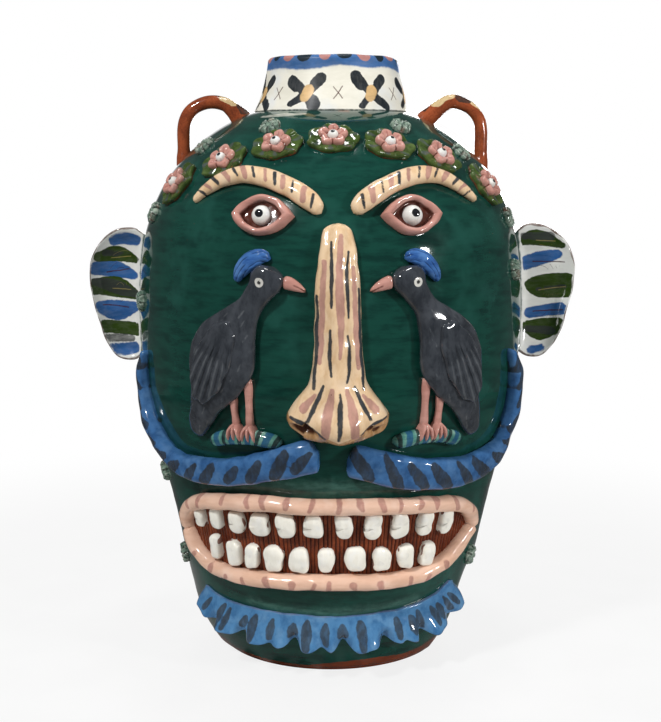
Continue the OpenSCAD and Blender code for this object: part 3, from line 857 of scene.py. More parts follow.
@dataclass
class Pot:
    """The thrown body: green brushed glaze that ends over a bare red foot."""

    around: int = 500
    foot_edge: float = 2.5
    slips: Tuple[Trio, ...] = (
        (-86, 228, 8), (-83.5, 242, 12), (-82.3, 260, 14.5), (-82, 286, 14.5), (-83, 304, 12), (-86, 318, 8))
    smears: Tuple[Mark, ...] = ((-55, 770.4, 1.2, -34, 772.9, 2.4), (-34, 772.9, 2.4, -18, 773.9, 0.8))
    spots: Tuple[Mark, ...] = ((6, 409.5, 0.5, 13, 409.6, 1.0), (-60, 132, 0.8, -57, 133, 0.9))
    mists: Tuple[Tuple[Trio, ...], ...] = (
        ((-104, 141, 3), (-60, 149, 4), (0, 151, 6), (30, 150, 5), (96, 145, 3)),
        ((-62, 58, 3), (-20, 53, 4), (25, 53, 5), (66, 58, 3)))
    glaze_line: Tuple[Pair, ...] = (
        (-180, 13), (-150, 10), (-120, 15), (-95, 20), (-82, 19), (-73, 16), (-64, 9), (-55, 6.5), (-43, 5.5),
        (-30, 5), (-12, 4.6), (-4, 7), (4, 9), (14, 10), (23, 10.5), (34, 9), (45, 9.5), (54, 12.5), (66, 16),
        (84, 18), (105, 12), (130, 16), (155, 11), (180, 13))
    glaze: Glaze = Glaze(
        "green_brushed_glaze", colour=(20, 68, 58), deep=(12, 50, 44), pale=(30, 80, 70), brush=8.0, cloud=30.0,
        break_from=0.6, pits=0.045, pit_colour=(96, 50, 34), rough=0.12, bump=0.5, coat=0.7,
        marks=(
            BrushMark("mist", (84, 130, 118), MarkKind.WASH, cover=0.95, ragged=3.0, worn=0.5, hairs=(0.3, 0.3, 1.2)),
            # Painted reflection: the ears' blue bands as the glossy green beside them would mirror them.
            BrushMark("blue_tint", (44, 88, 128), MarkKind.WASH, cover=0.45, ragged=2.5, worn=0.5),
            BrushMark("ear_slip", (206, 208, 200), ragged=1.6, soft=1.2, worn=0.25, cover=0.95),
            BrushMark("white_smear", (214, 214, 200), ragged=1.0, soft=0.8, worn=0.35, cover=0.85),
            BrushMark("brown_smear", (128, 66, 46), ragged=1.2, soft=0.6, worn=0.3, cover=0.9),
            BrushMark("inside", (92, 50, 32), ragged=0.4, worn=0.3),
            BrushMark("bare", (142, 66, 38), ragged=1.1, soft=0.35, worn=0.25, cover=1.0)))

    def build(self) -> None:
        """Builds the body."""
        outer = self.outer_line()
        line = np.vstack([outer, self.inner_line()])
        az, r, z, points = thrown(line, self.around)
        swell = smooth(6, 30, z) * smooth(WALL.height - 2, WALL.height - 30, z)
        push = (ripple(points, 48.0, 1.3) * 0.5 + ripple(points, 19.0, 7.1) * 0.18) * swell
        throwing = np.sin(z * 0.42 + np.radians(az) * 2) * 0.05 * swell
        is_out = (np.arange(len(line)) < len(outer))[:, None]
        points[..., :2] *= (1 + np.where(is_out, push + throwing, 0) / np.maximum(r, 20))[..., None]
        right = smooth(58, 75, az) * smooth(165, 110, az) * smooth(82, 50, z)
        left = smooth(-58, -75, az) * smooth(-165, -110, az) * smooth(60, 12, z)
        points[..., 0] -= 5.2 * right + 1.8 * left
        arc = np.radians(az) * np.maximum(WALL.radius(z), 58.0)
        slip = np.array(self.slips) * [math.radians(WALL.belly_r), 1, 1]
        # blue holds the painted reflection of the ears' blue bands on the body.
        brown, blue = self.side_marks()
        fields = {
            "bare": np.interp(az, *np.array(self.glaze_line).T) - z, "white_smear": daub(arc, z * 1.9, self.smears),
            "brown_smear": daub(arc, z, brown), "blue_tint": daub(arc, z, blue) - 5,
            "ear_slip": daub(arc, z, thick_line(slip)), "mist": daub(arc, z, brush(self.mists)) - 2.5}
        fields = {name: np.where(is_out, value, FAR) for name, value in fields.items()}
        clay = Clay().skin(points, inside=np.where(is_out, z - WALL.height - 3.0, 4.0), **fields)
        clay.fire("body", self.glaze, "green_glaze")

    def outer_line(self) -> Array:
        """Profile of the outside.

        Returns:
            Rows of radius and height, from the middle of the underside up to the neck.
        """
        foot, edge = WALL.foot_r, self.foot_edge
        under = [(30, 0), (60, 0), (foot - edge - 1, 0), (foot - edge, 0)]
        under += [(foot - edge * (1 - math.sin(a)), edge * (1 - math.cos(a))) for a in np.linspace(0.3, 1.5, 5)]
        z = np.r_[np.linspace(edge + 0.6, WALL.belly_h, 150), np.linspace(WALL.belly_h + 1.6, 392, 92)]
        side = np.c_[WALL.radius(z), z]
        top = WALL_LINE[WALL_LINE[:, 0] > 392.6][::2]
        return np.vstack([under, side, np.c_[top[:, 1], top[:, 0]]])

    def inner_line(self) -> Array:
        """Profile of the inside.

        Returns:
            Rows of radius and height, from the neck down to the floor.
        """
        z = np.linspace(WALL.height, 16, 90)
        slope = WALL.slope(z)
        r, h = WALL.radius(z) - WALL.thickness * np.cos(slope), z - WALL.thickness * np.sin(slope)
        keep = (r > 51.5) & (h > 14)
        floor = [(74, 12), (66, 10.3), (50, 10), (25, 10)]
        return np.vstack([[(53, WALL.height - 1), (51, WALL.height - 3)], np.c_[r[keep], h[keep]], floor])

    def side_marks(self) -> Tuple[List[Mark], List[Mark]]:
        """Marks that are alike on both sides.

        Returns:
            Spots where the clay shows by the handles, and a painted reflection of the ears' blue bands on the green
            beside them.
        """
        spots, blue = list(self.spots), []
        for arc in (-math.pi / 2, math.pi / 2):
            spots += [(arc * 64, 408, 3.2, arc * 74, 404.6, 1.5), (arc * 112, 374, 3.0, arc * 115, 371, 1.2)]
            # Painted reflection of the ears' blue bands, laid on the green beside each ear.
            blue += [(arc * 135.78, z, 5, arc * 138.7, z + 8, 6) for z in (232, 262, 296)]
        return spots, blue


@dataclass
class Collar:
    """The neck: cream slip with crossed petals, and a blue rim with pink and charcoal spots."""

    around: int = 640
    height: float = 40.0
    mouth_r: float = 49.0
    thickness: float = 7.0
    girth_r: float = 53.0
    shares: Tuple[Pair, ...] = ((0, 1), (0.2, 0.76), (0.5, 0.42), (0.8, 0.13), (1, 0))
    flowers: Tuple[float, ...] = (-174, -122.5, -71, -20, 30.6, 80.5, 134.5)
    flower_z: float = 422.0
    full: Tuple[Row, ...] = (
        (-13.6, 9.4, 3.2, 4.1), (9.6, 10.9, 3.2, 4.1), (-11.0, -7.0, 3.8, 2.5), (6.4, -8.4, 3.0, 4.6))
    slim: Tuple[Row, ...] = (
        (-10.6, 11.6, 3.0, 4.8), (11.6, 10.8, 2.8, 3.6), (-7.0, -8.6, 2.8, 2.2), (14.0, -9.6, 3.1, 2.6))
    rim_spots: Tuple[float, ...] = (-42.4, -26.1, -7.2, 10.1, 28.0, 44.7, 59.8)
    spot_count: int = 22
    glaze: Glaze = Glaze(
        "cream_neck_glaze", colour=(242, 238, 224), deep=(232, 228, 212), pale=(228, 231, 231), brush=10.0,
        stretch=(0.5, 0.5, 1.3), cloud=26.0, break_cover=0.0, pits=0.05, rough=0.4, bump=0.3, coat=0.06,
        coat_rough=0.22,
        marks=(
            BrushMark("blue_wash", (120, 150, 190), MarkKind.WASH, ragged=2.0, cover=0.5, worn=0.5),
            BrushMark("blue", (56, 110, 174), ragged=0.9, soft=0.9, worn=0.06, cover=0.97, hairs=(0.3, 0.3, 1)),
            BrushMark("pink_spot", (204, 142, 132), ragged=0.5, worn=0.05, cover=0.97),
            BrushMark("dark_spot", (38, 50, 58), ragged=0.5, worn=0.05, cover=1.0),
            BrushMark("petal", (40, 46, 52), ragged=1.1, soft=0.3, worn=0.04, cover=1.0),
            BrushMark("middle", (232, 192, 134), ragged=0.9, soft=0.5, worn=0.05, cover=1.0),
            BrushMark("cross_a", (88, 44, 40), MarkKind.LINE, width=0.42, ragged=0.35, soft=0.18, cover=0.85),
            BrushMark("cross_b", (88, 44, 40), MarkKind.LINE, width=0.36, ragged=0.35, soft=0.18, cover=0.85),
            BrushMark("inside", (104, 58, 36), ragged=1.5, soft=1.2, worn=0.3),
            BrushMark("foot_line", (30, 48, 44), ragged=0.5, soft=0.4, worn=0.3)))

    def build(self) -> None:
        """Builds the neck."""
        outer, rim, inner = self.lines()
        line = np.vstack([outer, rim, inner])
        az, r, z, points = thrown(line, self.around)
        points[..., 2] += (ripple(points * [1, 1, 0], 22.0, 5.0) * 0.7 + 0.2) * smooth(424, 450, z)
        points[..., :2] *= (1 + (ripple(points, 30.0, 2.0) * 0.35) / r)[..., None]
        points[..., 0] += 1.8 * smooth(409, 423, z)
        is_out = (np.arange(len(line)) < len(outer) + len(rim) // 2)[:, None]
        arc = np.radians(az) * self.girth_r
        edge = 440.7 + 0.9 * np.sin(np.radians(az * 3 + 20)) + 0.7 * np.sin(np.radians(az * 7 + 70))
        blue = np.where(is_out, z - edge, z - 445.0)
        at = self.girth(self.flowers)
        middles = [(u + 0.7, 424.2, 4.3, u - 0.9, 420.0, 3.9) for u in at]
        between = self.girth([(a + b) / 2 for a, b in zip(self.flowers, self.flowers[1:] + (186,))])
        crosses = (*scratch(arc, z, [(u - 4.2, 418.0, u + 2.0, 427.4) for u in between]),
                   *scratch(arc, z, [(u - 4.8, 427.0, u + 2.2, 418.4) for u in between]))
        fields = {"petal": self.laid(arc, z, self.petals()), "middle": self.laid(arc, z, middles),
                  "foot_line": 410.9 - z}
        fields = {name: np.where(is_out, value, FAR) for name, value in fields.items()}
        for name, value in zip(("cross_a", "cross_a_past", "cross_b", "cross_b_past"), crosses):
            fields[name] = np.where(is_out, value, 9)
        for name, kind in (("pink_spot", 0), ("dark_spot", 1)):
            fields[name] = np.where(is_out | (z > 448), self.spots(az, z, kind), FAR)
        clay = Clay().skin(points, hoop=True, blue=blue, blue_wash=blue - 2.0,
                           inside=np.where(is_out, FAR, 424.0 - z), **fields)
        clay.fire("neck", self.glaze, "neck_glaze")

    def lines(self) -> Tuple[Array, Array, Array]:
        """Profile of the neck.

        Returns:
            Rows of radius and height up the outside, over the rim and down the inside.
        """
        rows = curve(self.shares, 11)
        half = self.thickness / 2
        r = self.mouth_r + (WALL.neck_r - self.mouth_r) * rows[:, 1]
        z = WALL.height + (self.height - half) * rows[:, 0]
        foot = [(WALL.neck_r - 0.4, WALL.height - 1.6)]
        outer = np.vstack([foot, np.c_[r, z]])
        a = np.radians(np.arange(12, 170, 12))
        rim = np.c_[self.mouth_r - half + half * np.cos(a), WALL.height + self.height - half + half * np.sin(a)]
        inner = np.c_[r - self.thickness, z][::-2]
        return outer, rim, np.vstack([inner, [(WALL.neck_r - self.thickness + 0.5, WALL.height - 2.5)]])

    def girth(self, az: Sequence[float]) -> Array:
        """Places round the neck in millimetres, from degrees round from the front."""
        return np.radians(az) * self.girth_r

    def laid(self, arc: Array, z: Array, marks: Sequence[Mark]) -> Array:
        """Field of brush marks, which may reach past the seam at the back."""
        return np.maximum(daub(arc, z, marks), daub(arc - self.girth(360), z, marks))

    def spots(self, az: Array, z: Array, kind: int) -> Array:
        """Field of the half-round spots that hang from the rim.

        Args:
            az: degrees round from the front.
            z: height in millimetres.
            kind: 0 or 1, which of the two colours, taken in turn.
        Returns:
            Millimetres inside the nearest spot's edge.
        """
        rest = self.spot_count - len(self.rim_spots)
        start, stop = self.rim_spots[-1], self.rim_spots[0] + 360
        places = list(self.rim_spots) + [start + (stop - start) * (i + 1) / (rest + 1) for i in range(rest)]
        best = np.full((len(z), len(az)), FAR)
        for i in range(kind, len(places), 2):
            gap = np.radians(np.abs((az - places[i] + 180) % 360 - 180)) * self.mouth_r
            wide, deep = 5.4 + 0.9 * math.sin(i * 2.3), 4.8 + 0.8 * math.sin(i * 1.7)
            best = np.maximum(best, wide - np.hypot(gap, (450.5 - z) * wide / deep))
        return best

    def petals(self) -> List[Mark]:
        """The crossed petals of the flowers.

        Returns:
            Two brush marks for each petal.
        """
        out: List[Mark] = []
        z = self.flower_z
        for i, u in enumerate(self.girth(self.flowers)):
            for x, y, near, far in self.full if i % 2 else self.slim:
                out += [(u + x * 0.14, z + y * 0.14, near, u + x, z + y, far),
                        (u + x * 0.6 - y * 0.07, z + y * 0.6 + x * 0.07, far * 0.9,
                         u + x * 0.95 - y * 0.05, z + y * 0.95 + x * 0.05, far * 0.95)]
        return out


@dataclass
class Handle:
    """A pulled coil bent to a loop on the shoulder, pressed out where it joins."""

    side: Side
    thick: float = 10.0
    radius: float = 22.0
    x: Pair = (89.8, 92.5)
    rise: float = 396.2
    inner_ends: Tuple[Tuple[Row, ...], Tuple[Row, ...]] = (
        ((79.4, 415.8, 1.05, 1.08), (75.0, 412.6, 1.15, 1.18), (71.4, 409.4, 1.38, 1.3), (68.4, 406.0, 1.62, 1.45),
         (66.6, 403.0, 1.75, 1.5)),
        ((82.8, 414.2, 1.12, 1.08), (77.2, 409.2, 1.3, 1.2), (72.0, 405.0, 1.4, 1.35), (66.8, 402.2, 1.15, 1.3),
         (63.2, 400.6, 0.7, 1.0)))
    cream: Tuple[Tuple[Mark, ...], Tuple[Mark, ...]] = (
        ((-21, -3, 3.6, -14.5, -3, 3.2),), ((-33, -3, 3.4, -24, -3, 3.8), (-54.5, -1, 2.2, -49, -2, 3.0)))
    dark: Tuple[Tuple[Mark, ...], Tuple[Mark, ...]] = (
        ((-9.5, -2, 2.4, -5.5, -3, 3.0), (-27, -1, 0.8, -25, -2, 1.2)),
        ((-44, -3, 3.4, -39.5, -4, 3.6), (-17, -2, 1.0, -13, -2, 1.6)))
    glaze: BareClay = BareClay(
        "red_brown_handle_glaze", colour=(166, 84, 48), deep=(118, 56, 34), rough=0.2, coat=0.8, bump=0.3,
        marks=(
            BrushMark("cream_patch", (222, 198, 150), ragged=1.0, worn=0.3),
            BrushMark("dark_patch", (58, 52, 48), ragged=0.8, worn=0.3)))

    def line(self) -> Array:
        """Middle line of the handle.

        Returns:
            Rows of place sideways, height and the two thicknesses, from the outer foot to the inner end.
        """
        middle = self.side.of(self.x)
        foot_x = middle + self.radius
        upper = WALL_LINE[WALL_LINE[:, 0] > WALL.belly_h]
        foot_z = float(np.interp(-foot_x, -upper[:, 1], upper[:, 0]))
        rows = [(foot_x + 0.2, foot_z - 5.5, 1.1, 1.6), (foot_x, foot_z + 1.2, 1.14, 1.35),
                (foot_x, foot_z + 8, 1.0, 1.06)]
        for a, thin, wide in ((6, 0.97, 0.98), (28, 0.96, 0.96), (52, 0.97, 0.97), (76, 1.02, 1.0), (96, 1.04, 1.04)):
            a = math.radians(a)
            rows.append((middle + self.radius * math.cos(a), self.rise + self.radius * math.sin(a), thin, wide))
        return curve(rows + list(self.side.of(self.inner_ends)), 9)

    def build(self) -> None:
        """Builds the handle."""
        rows = self.line()
        tangent = np.gradient(rows[:, :2], axis=0)
        tangent /= np.linalg.norm(tangent, axis=1)[:, None]
        a = np.linspace(0, 2 * np.pi, 36, endpoint=False)
        out = np.cos(a) * self.thick / 2 * rows[:, 2][:, None]
        across = np.sin(a) * self.thick / 2 * rows[:, 3][:, None]
        x = rows[:, 0][:, None] + tangent[:, 1][:, None] * out
        z = rows[:, 1][:, None] - tangent[:, 0][:, None] * out
        points = points_at(x * self.side.value, across, z)
        points = points + wander(points, 16.0, 3.0 + self.side.value) * 0.5
        run = np.r_[0, np.cumsum(np.linalg.norm(np.diff(rows[:, :2], axis=0), axis=1))]
        left = (run - run[-1])[:, None]
        girth = ((a + np.pi) % (2 * np.pi) - np.pi) * self.thick / 2
        clay = Clay().skin(points, cream_patch=daub(left, girth, self.side.of(self.cream)),
                           dark_patch=daub(left, girth, self.side.of(self.dark)))
        clay.fire(f"{self.side.word}_handle", self.glaze, "handle_glaze")


@dataclass(frozen=True)
class EarPaint:
    """Brushed bands of one ear, in shares of its reach and height; radii are shares of its height."""

    blue: Tuple[Tuple[Trio, ...], ...]
    green: Tuple[Tuple[Trio, ...], ...]
    dark: Tuple[Tuple[Trio, ...], ...]
    lines: Tuple[Row, ...]
    pale_lines: Tuple[Row, ...]


@dataclass
class Ear:
    """A dished half-moon slab in white with blue and green bands."""

    side: Side
    height: float = 104.0
    reach: float = 41.0
    thick: float = 6.0
    dish: float = 9.0
    base: float = 0.537 * 410
    right_lift: float = 2.8
    unlike: float = 1.3
    around: int = 260
    spread: float = 1.14
    shares: Tuple[Pair, ...] = (
        (-0.12, 0.1), (0.0, 0.05), (0.2, 0.01), (0.45, 0.02), (0.64, 0.1), (0.76, 0.22), (0.85, 0.34), (0.93, 0.47),
        (0.98, 0.58), (1, 0.68), (0.96, 0.79), (0.84, 0.89), (0.62, 0.97), (0.34, 1), (0.12, 0.97), (-0.06, 0.9),
        (-0.12, 0.74), (-0.12, 0.57), (-0.12, 0.4), (-0.12, 0.23))
    middle: Pair = (0.44, 0.5)
    left: EarPaint = EarPaint(
        blue=(((0.6, 0.9, 0.035), (0.4, 0.918, 0.042), (0.16, 0.897, 0.035)),
              ((0.88, 0.69, 0.045), (0.55, 0.685, 0.056), (0.15, 0.635, 0.026)),
              ((0.8, 0.41, 0.036), (0.5, 0.375, 0.068), (0.15, 0.4, 0.034)),
              ((0.62, 0.105, 0.026), (0.45, 0.085, 0.042), (0.15, 0.1, 0.036))),
        green=(((0.84, 0.775, 0.034), (0.52, 0.8, 0.052), (0.13, 0.75, 0.022)),
               ((0.93, 0.56, 0.05), (0.5, 0.55, 0.068), (0.15, 0.495, 0.034)),
               ((0.74, 0.262, 0.042), (0.12, 0.235, 0.044))),
        dark=(((0.74, 0.806, 0.022), (0.3, 0.79, 0.014)),
              ((0.88, 0.592, 0.026), (0.5, 0.548, 0.046), (0.15, 0.5, 0.026)),
              ((0.7, 0.175, 0.026), (0.22, 0.168, 0.024))),
        lines=((0.7, 0.66, 0.26, 0.685), (0.76, 0.42, 0.5, 0.412), (0.5, 0.412, 0.26, 0.396)),
        pale_lines=((0.62, 0.768, 0.24, 0.78), (0.58, 0.54, 0.22, 0.532)))
    right: EarPaint = EarPaint(
        blue=(((0.12, 0.7, 0.046), (0.45, 0.742, 0.044), (0.72, 0.768, 0.03)),
              ((0.2, 0.33, 0.036), (0.75, 0.364, 0.042)),
              ((0.24, 0.06, 0.026), (0.44, 0.075, 0.022))),
        green=(((0.05, 0.86, 0.026), (0.4, 0.893, 0.054), (0.8, 0.835, 0.022)),
               ((0.15, 0.545, 0.02), (0.4, 0.528, 0.074), (0.86, 0.54, 0.08)),
               ((0.13, 0.235, 0.03), (0.4, 0.208, 0.07), (0.7, 0.248, 0.044))),
        dark=(((0.12, 0.905, 0.02), (0.6, 0.898, 0.034)),
              ((0.34, 0.505, 0.012), (0.82, 0.53, 0.012)),
              ((0.12, 0.212, 0.022), (0.6, 0.2, 0.026))),
        lines=((0.26, 0.712, 0.84, 0.712), (0.26, 0.34, 0.8, 0.356)),
        pale_lines=((0.36, 0.872, 0.7, 0.866), (0.36, 0.5, 0.84, 0.528)))
    glaze: Glaze = Glaze(
        "white_ear_glaze", colour=(240, 240, 234), deep=(226, 227, 221), pale=(240, 241, 238), brush=12.0,
        cloud=22.0, break_cover=0.0, pits=0.04, rough=0.1, bump=0.3, coat=0.75,
        marks=(
            BrushMark("blue_wash", (150, 172, 204), MarkKind.WASH, ragged=1.5, cover=0.4, worn=0.4, hairs=(0.3, 1, 1)),
            BrushMark("blue", (50, 100, 162), ragged=0.9, soft=0.5, worn=0.05, cover=1.0, hairs=(0.3, 1, 1)),
            BrushMark("green", (50, 72, 20), ragged=0.8, soft=0.3, worn=0.03, cover=1.0, hairs=(0.3, 1, 1)),
            BrushMark("dark", (60, 64, 64), ragged=0.9, soft=0.5, worn=0.2, cover=0.9, hairs=(0.3, 1, 1)),
            BrushMark("thread", (74, 36, 34), MarkKind.LINE, width=0.5, ragged=0.8, cover=0.85),
            BrushMark("pale_thread", (176, 160, 96), MarkKind.LINE, width=0.3, ragged=0.6, cover=0.7),
            BrushMark("edge", (96, 60, 46), ragged=0.6, soft=0.35, worn=0.3, cover=0.9),
            BrushMark("root", (24, 70, 62), ragged=1.2, soft=0.8, worn=0.2, cover=0.95)))

    def build(self) -> None:
        """Builds the ear."""
        s = self.side.value
        line = closed_curve(self.shares, self.around)
        size, thick = np.array(self.tiers()).T[:, :, None]
        out, up = (mid * (1 - size) + line[:, i] * size for i, mid in enumerate(self.middle))
        rim = np.clip(1 - (1 - size) / 0.62, 0, 1)
        hollow = (1 - rim ** 2.0) * smooth(-0.16, 0.15, out)
        z = self.base + self.height * up
        x = WALL.radius(z) + (self.reach + self.unlike * s) * out
        points = points_at(x * s, self.thick * thick + self.dish * (hollow - 1), z)
        uneven = wander(points * [1, 0.2, 1], 12.0, 11.0 + s)
        points = points + uneven * (0.25 + 0.65 * smooth(0.7, 1.0, size))[..., None] * [0.8, 0.6, 0.8]
        points[..., 2] += self.side.of((0.0, self.right_lift))
        edge = (size - 0.972) * 42 - np.maximum(thick - 0.5, 0) * 9 + ripple(points, 9.0, 3.0) * 1.3
        clay = Clay().skin(points, edge=np.where(out > 0.02, edge, FAR), root=(0.035 - out) * self.reach,
                           **self.paint(out, up, size, thick))
        clay.fire(f"{self.side.word}_ear", self.glaze, "ear_glaze")

    def paint(self, out: Array, up: Array, size: Array, thick: Array) -> Dict[str, Array]:
        """Fields of the bands and the thin lines.

        Args:
            out: place outwards as a share of the reach.
            up: place upwards as a share of the height.
            size: size of the ring as a share of the slab's.
            thick: place through the thickness, 0 at the front.
        Returns:
            Values at each point, for each field.
        """
        paint = self.side.of((self.left, self.right))
        a, b = out * self.reach, up * self.height
        keep = np.minimum(np.minimum((1 - size) * 14 - 0.6, (out - 0.07) * self.reach), 9)
        scale = [self.reach, self.height, self.height * self.spread]
        fields = {name: daub(a, b, brush(np.array(row) * scale for row in rows))
                  for name, rows in (("blue", paint.blue), ("green", paint.green), ("dark", paint.dark))}
        fields["blue_wash"] = fields["blue"] - 3
        fields = {name: np.minimum(value, keep) for name, value in fields.items()}
        for name, rows in (("thread", paint.lines), ("pale_thread", paint.pale_lines)):
            ends = np.array(rows) * [self.reach, self.height, self.reach, self.height]
            for more, value in zip(("", "_past"), scratch(a, b, ends)):
                fields[name + more] = np.where(thick < 0.62, value, 9)
        return fields

    def tiers(self) -> List[Pair]:
        """Rings from the middle of the back to the middle of the front.

        Returns:
            Rows of size and place through the thickness.
        """
        sizes = [0.06, 0.14, 0.22, 0.3, 0.38, 0.46, 0.54, 0.62, 0.7, 0.77, 0.84, 0.9, 0.94, 0.97]
        back = [(s, 1.0) for s in sizes]
        lip = [(0.988, 0.93), (0.997, 0.78), (1.0, 0.6), (1.0, 0.4), (0.997, 0.22), (0.988, 0.07)]
        return back + lip + [(s, 0.0) for s in reversed(sizes)]


@dataclass
class Moustache:
    """Half of the moustache: a thick blue coil with slanted charcoal strokes."""

    side: Side
    width: float = 24.0
    out: float = 11.0
    left: Tuple[Row, ...] = (
        (-68, 0.575, 0.18, 0.5), (-71, 0.54, 0.38, 0.75), (-72.4, 0.5, 0.42, 0.85), (-70.4, 0.458, 0.48, 0.95),
        (-64.6, 0.421, 0.54, 1), (-56, 0.394, 0.64, 1), (-46, 0.384, 0.76, 1), (-36.6, 0.386, 0.8, 1),
        (-27.8, 0.393, 0.84, 1), (-20, 0.404, 0.9, 1), (-13, 0.416, 0.97, 1), (-7.5, 0.425, 1, 1),
        (-3.2, 0.43, 0.94, 0.92))
    right: Tuple[Row, ...] = (
        (4.8, 0.421, 0.94, 0.92), (9.5, 0.415, 1, 1), (18.5, 0.399, 1, 1), (27, 0.389, 0.97, 1), (36, 0.383, 0.95, 1),
        (45, 0.382, 0.95, 1), (53, 0.388, 0.88, 1), (60.5, 0.403, 0.76, 1), (65.5, 0.428, 0.64, 1),
        (67.8, 0.463, 0.54, 1), (67.9, 0.505, 0.5, 0.9), (66, 0.545, 0.42, 0.8), (62.6, 0.582, 0.18, 0.5))
    glaze: Glaze = Glaze(
        "blue_moustache_glaze", colour=(66, 112, 164), deep=(46, 86, 134), pale=(88, 130, 176), brush=7.0,
        stretch=(0.8, 0.8, 0.8), cloud=14.0, breaks=(112, 112, 118), break_cover=0.35, rough=0.11, coat=0.7,
        marks=(
            BrushMark("stroke", (56, 60, 64), ragged=1.3, soft=0.4, worn=0.22),
            BrushMark("edge", (66, 44, 48), ragged=0.5, soft=0.5, worn=0.3, cover=0.8)))

    def build(self) -> None:
        """Builds the half."""
        lean, start, part = self.side.of(((1.0, 0.9, 0.26), (-1.3, 1.3, 0.35)))
        coil = Coil(self.side.of((self.left, self.right)), self.width, self.out, section=Section.FLAT, around=52,
                    uneven=0.7, seed=20 + self.side.value)
        points, u, v = coil.rings()
        marks: List[Mark] = []
        at, k = 9.0, 0
        while at < coil.length - 4:
            at = min(at, coil.length - 11)
            wide = float(np.interp(at, coil.run, coil.wide))
            share = wide / self.width
            jitter = math.sin(k * 2.4 + start)
            reach = wide * (part + 0.05 * math.sin(k * 1.9))
            fat = 3.3 + 0.9 * share + 0.4 * jitter
            tail = smooth(0.74, 0.56, share)
            shift = -wide * 0.05 * tail
            slant = lean * 6.5 * share * (1 + 0.8 * tail)
            marks += thick_line([(at - slant, shift - reach, fat * 0.8), (at - slant * 0.2, shift - reach * 0.2, fat),
                                 (at + slant, shift + reach, fat * (0.62 + 0.15 * jitter))])
            at += 13.0 + 6.5 * share + 2.2 * jitter
            k += 1
        edge = np.where(v < 0, -v - coil.wide[:, None] * 0.48, -2.0)
        clay = Clay().skin(points, stroke=daub(u, v, marks), edge=edge)
        clay.fire(f"{self.side.word}_moustache", self.glaze, "moustache_glaze")


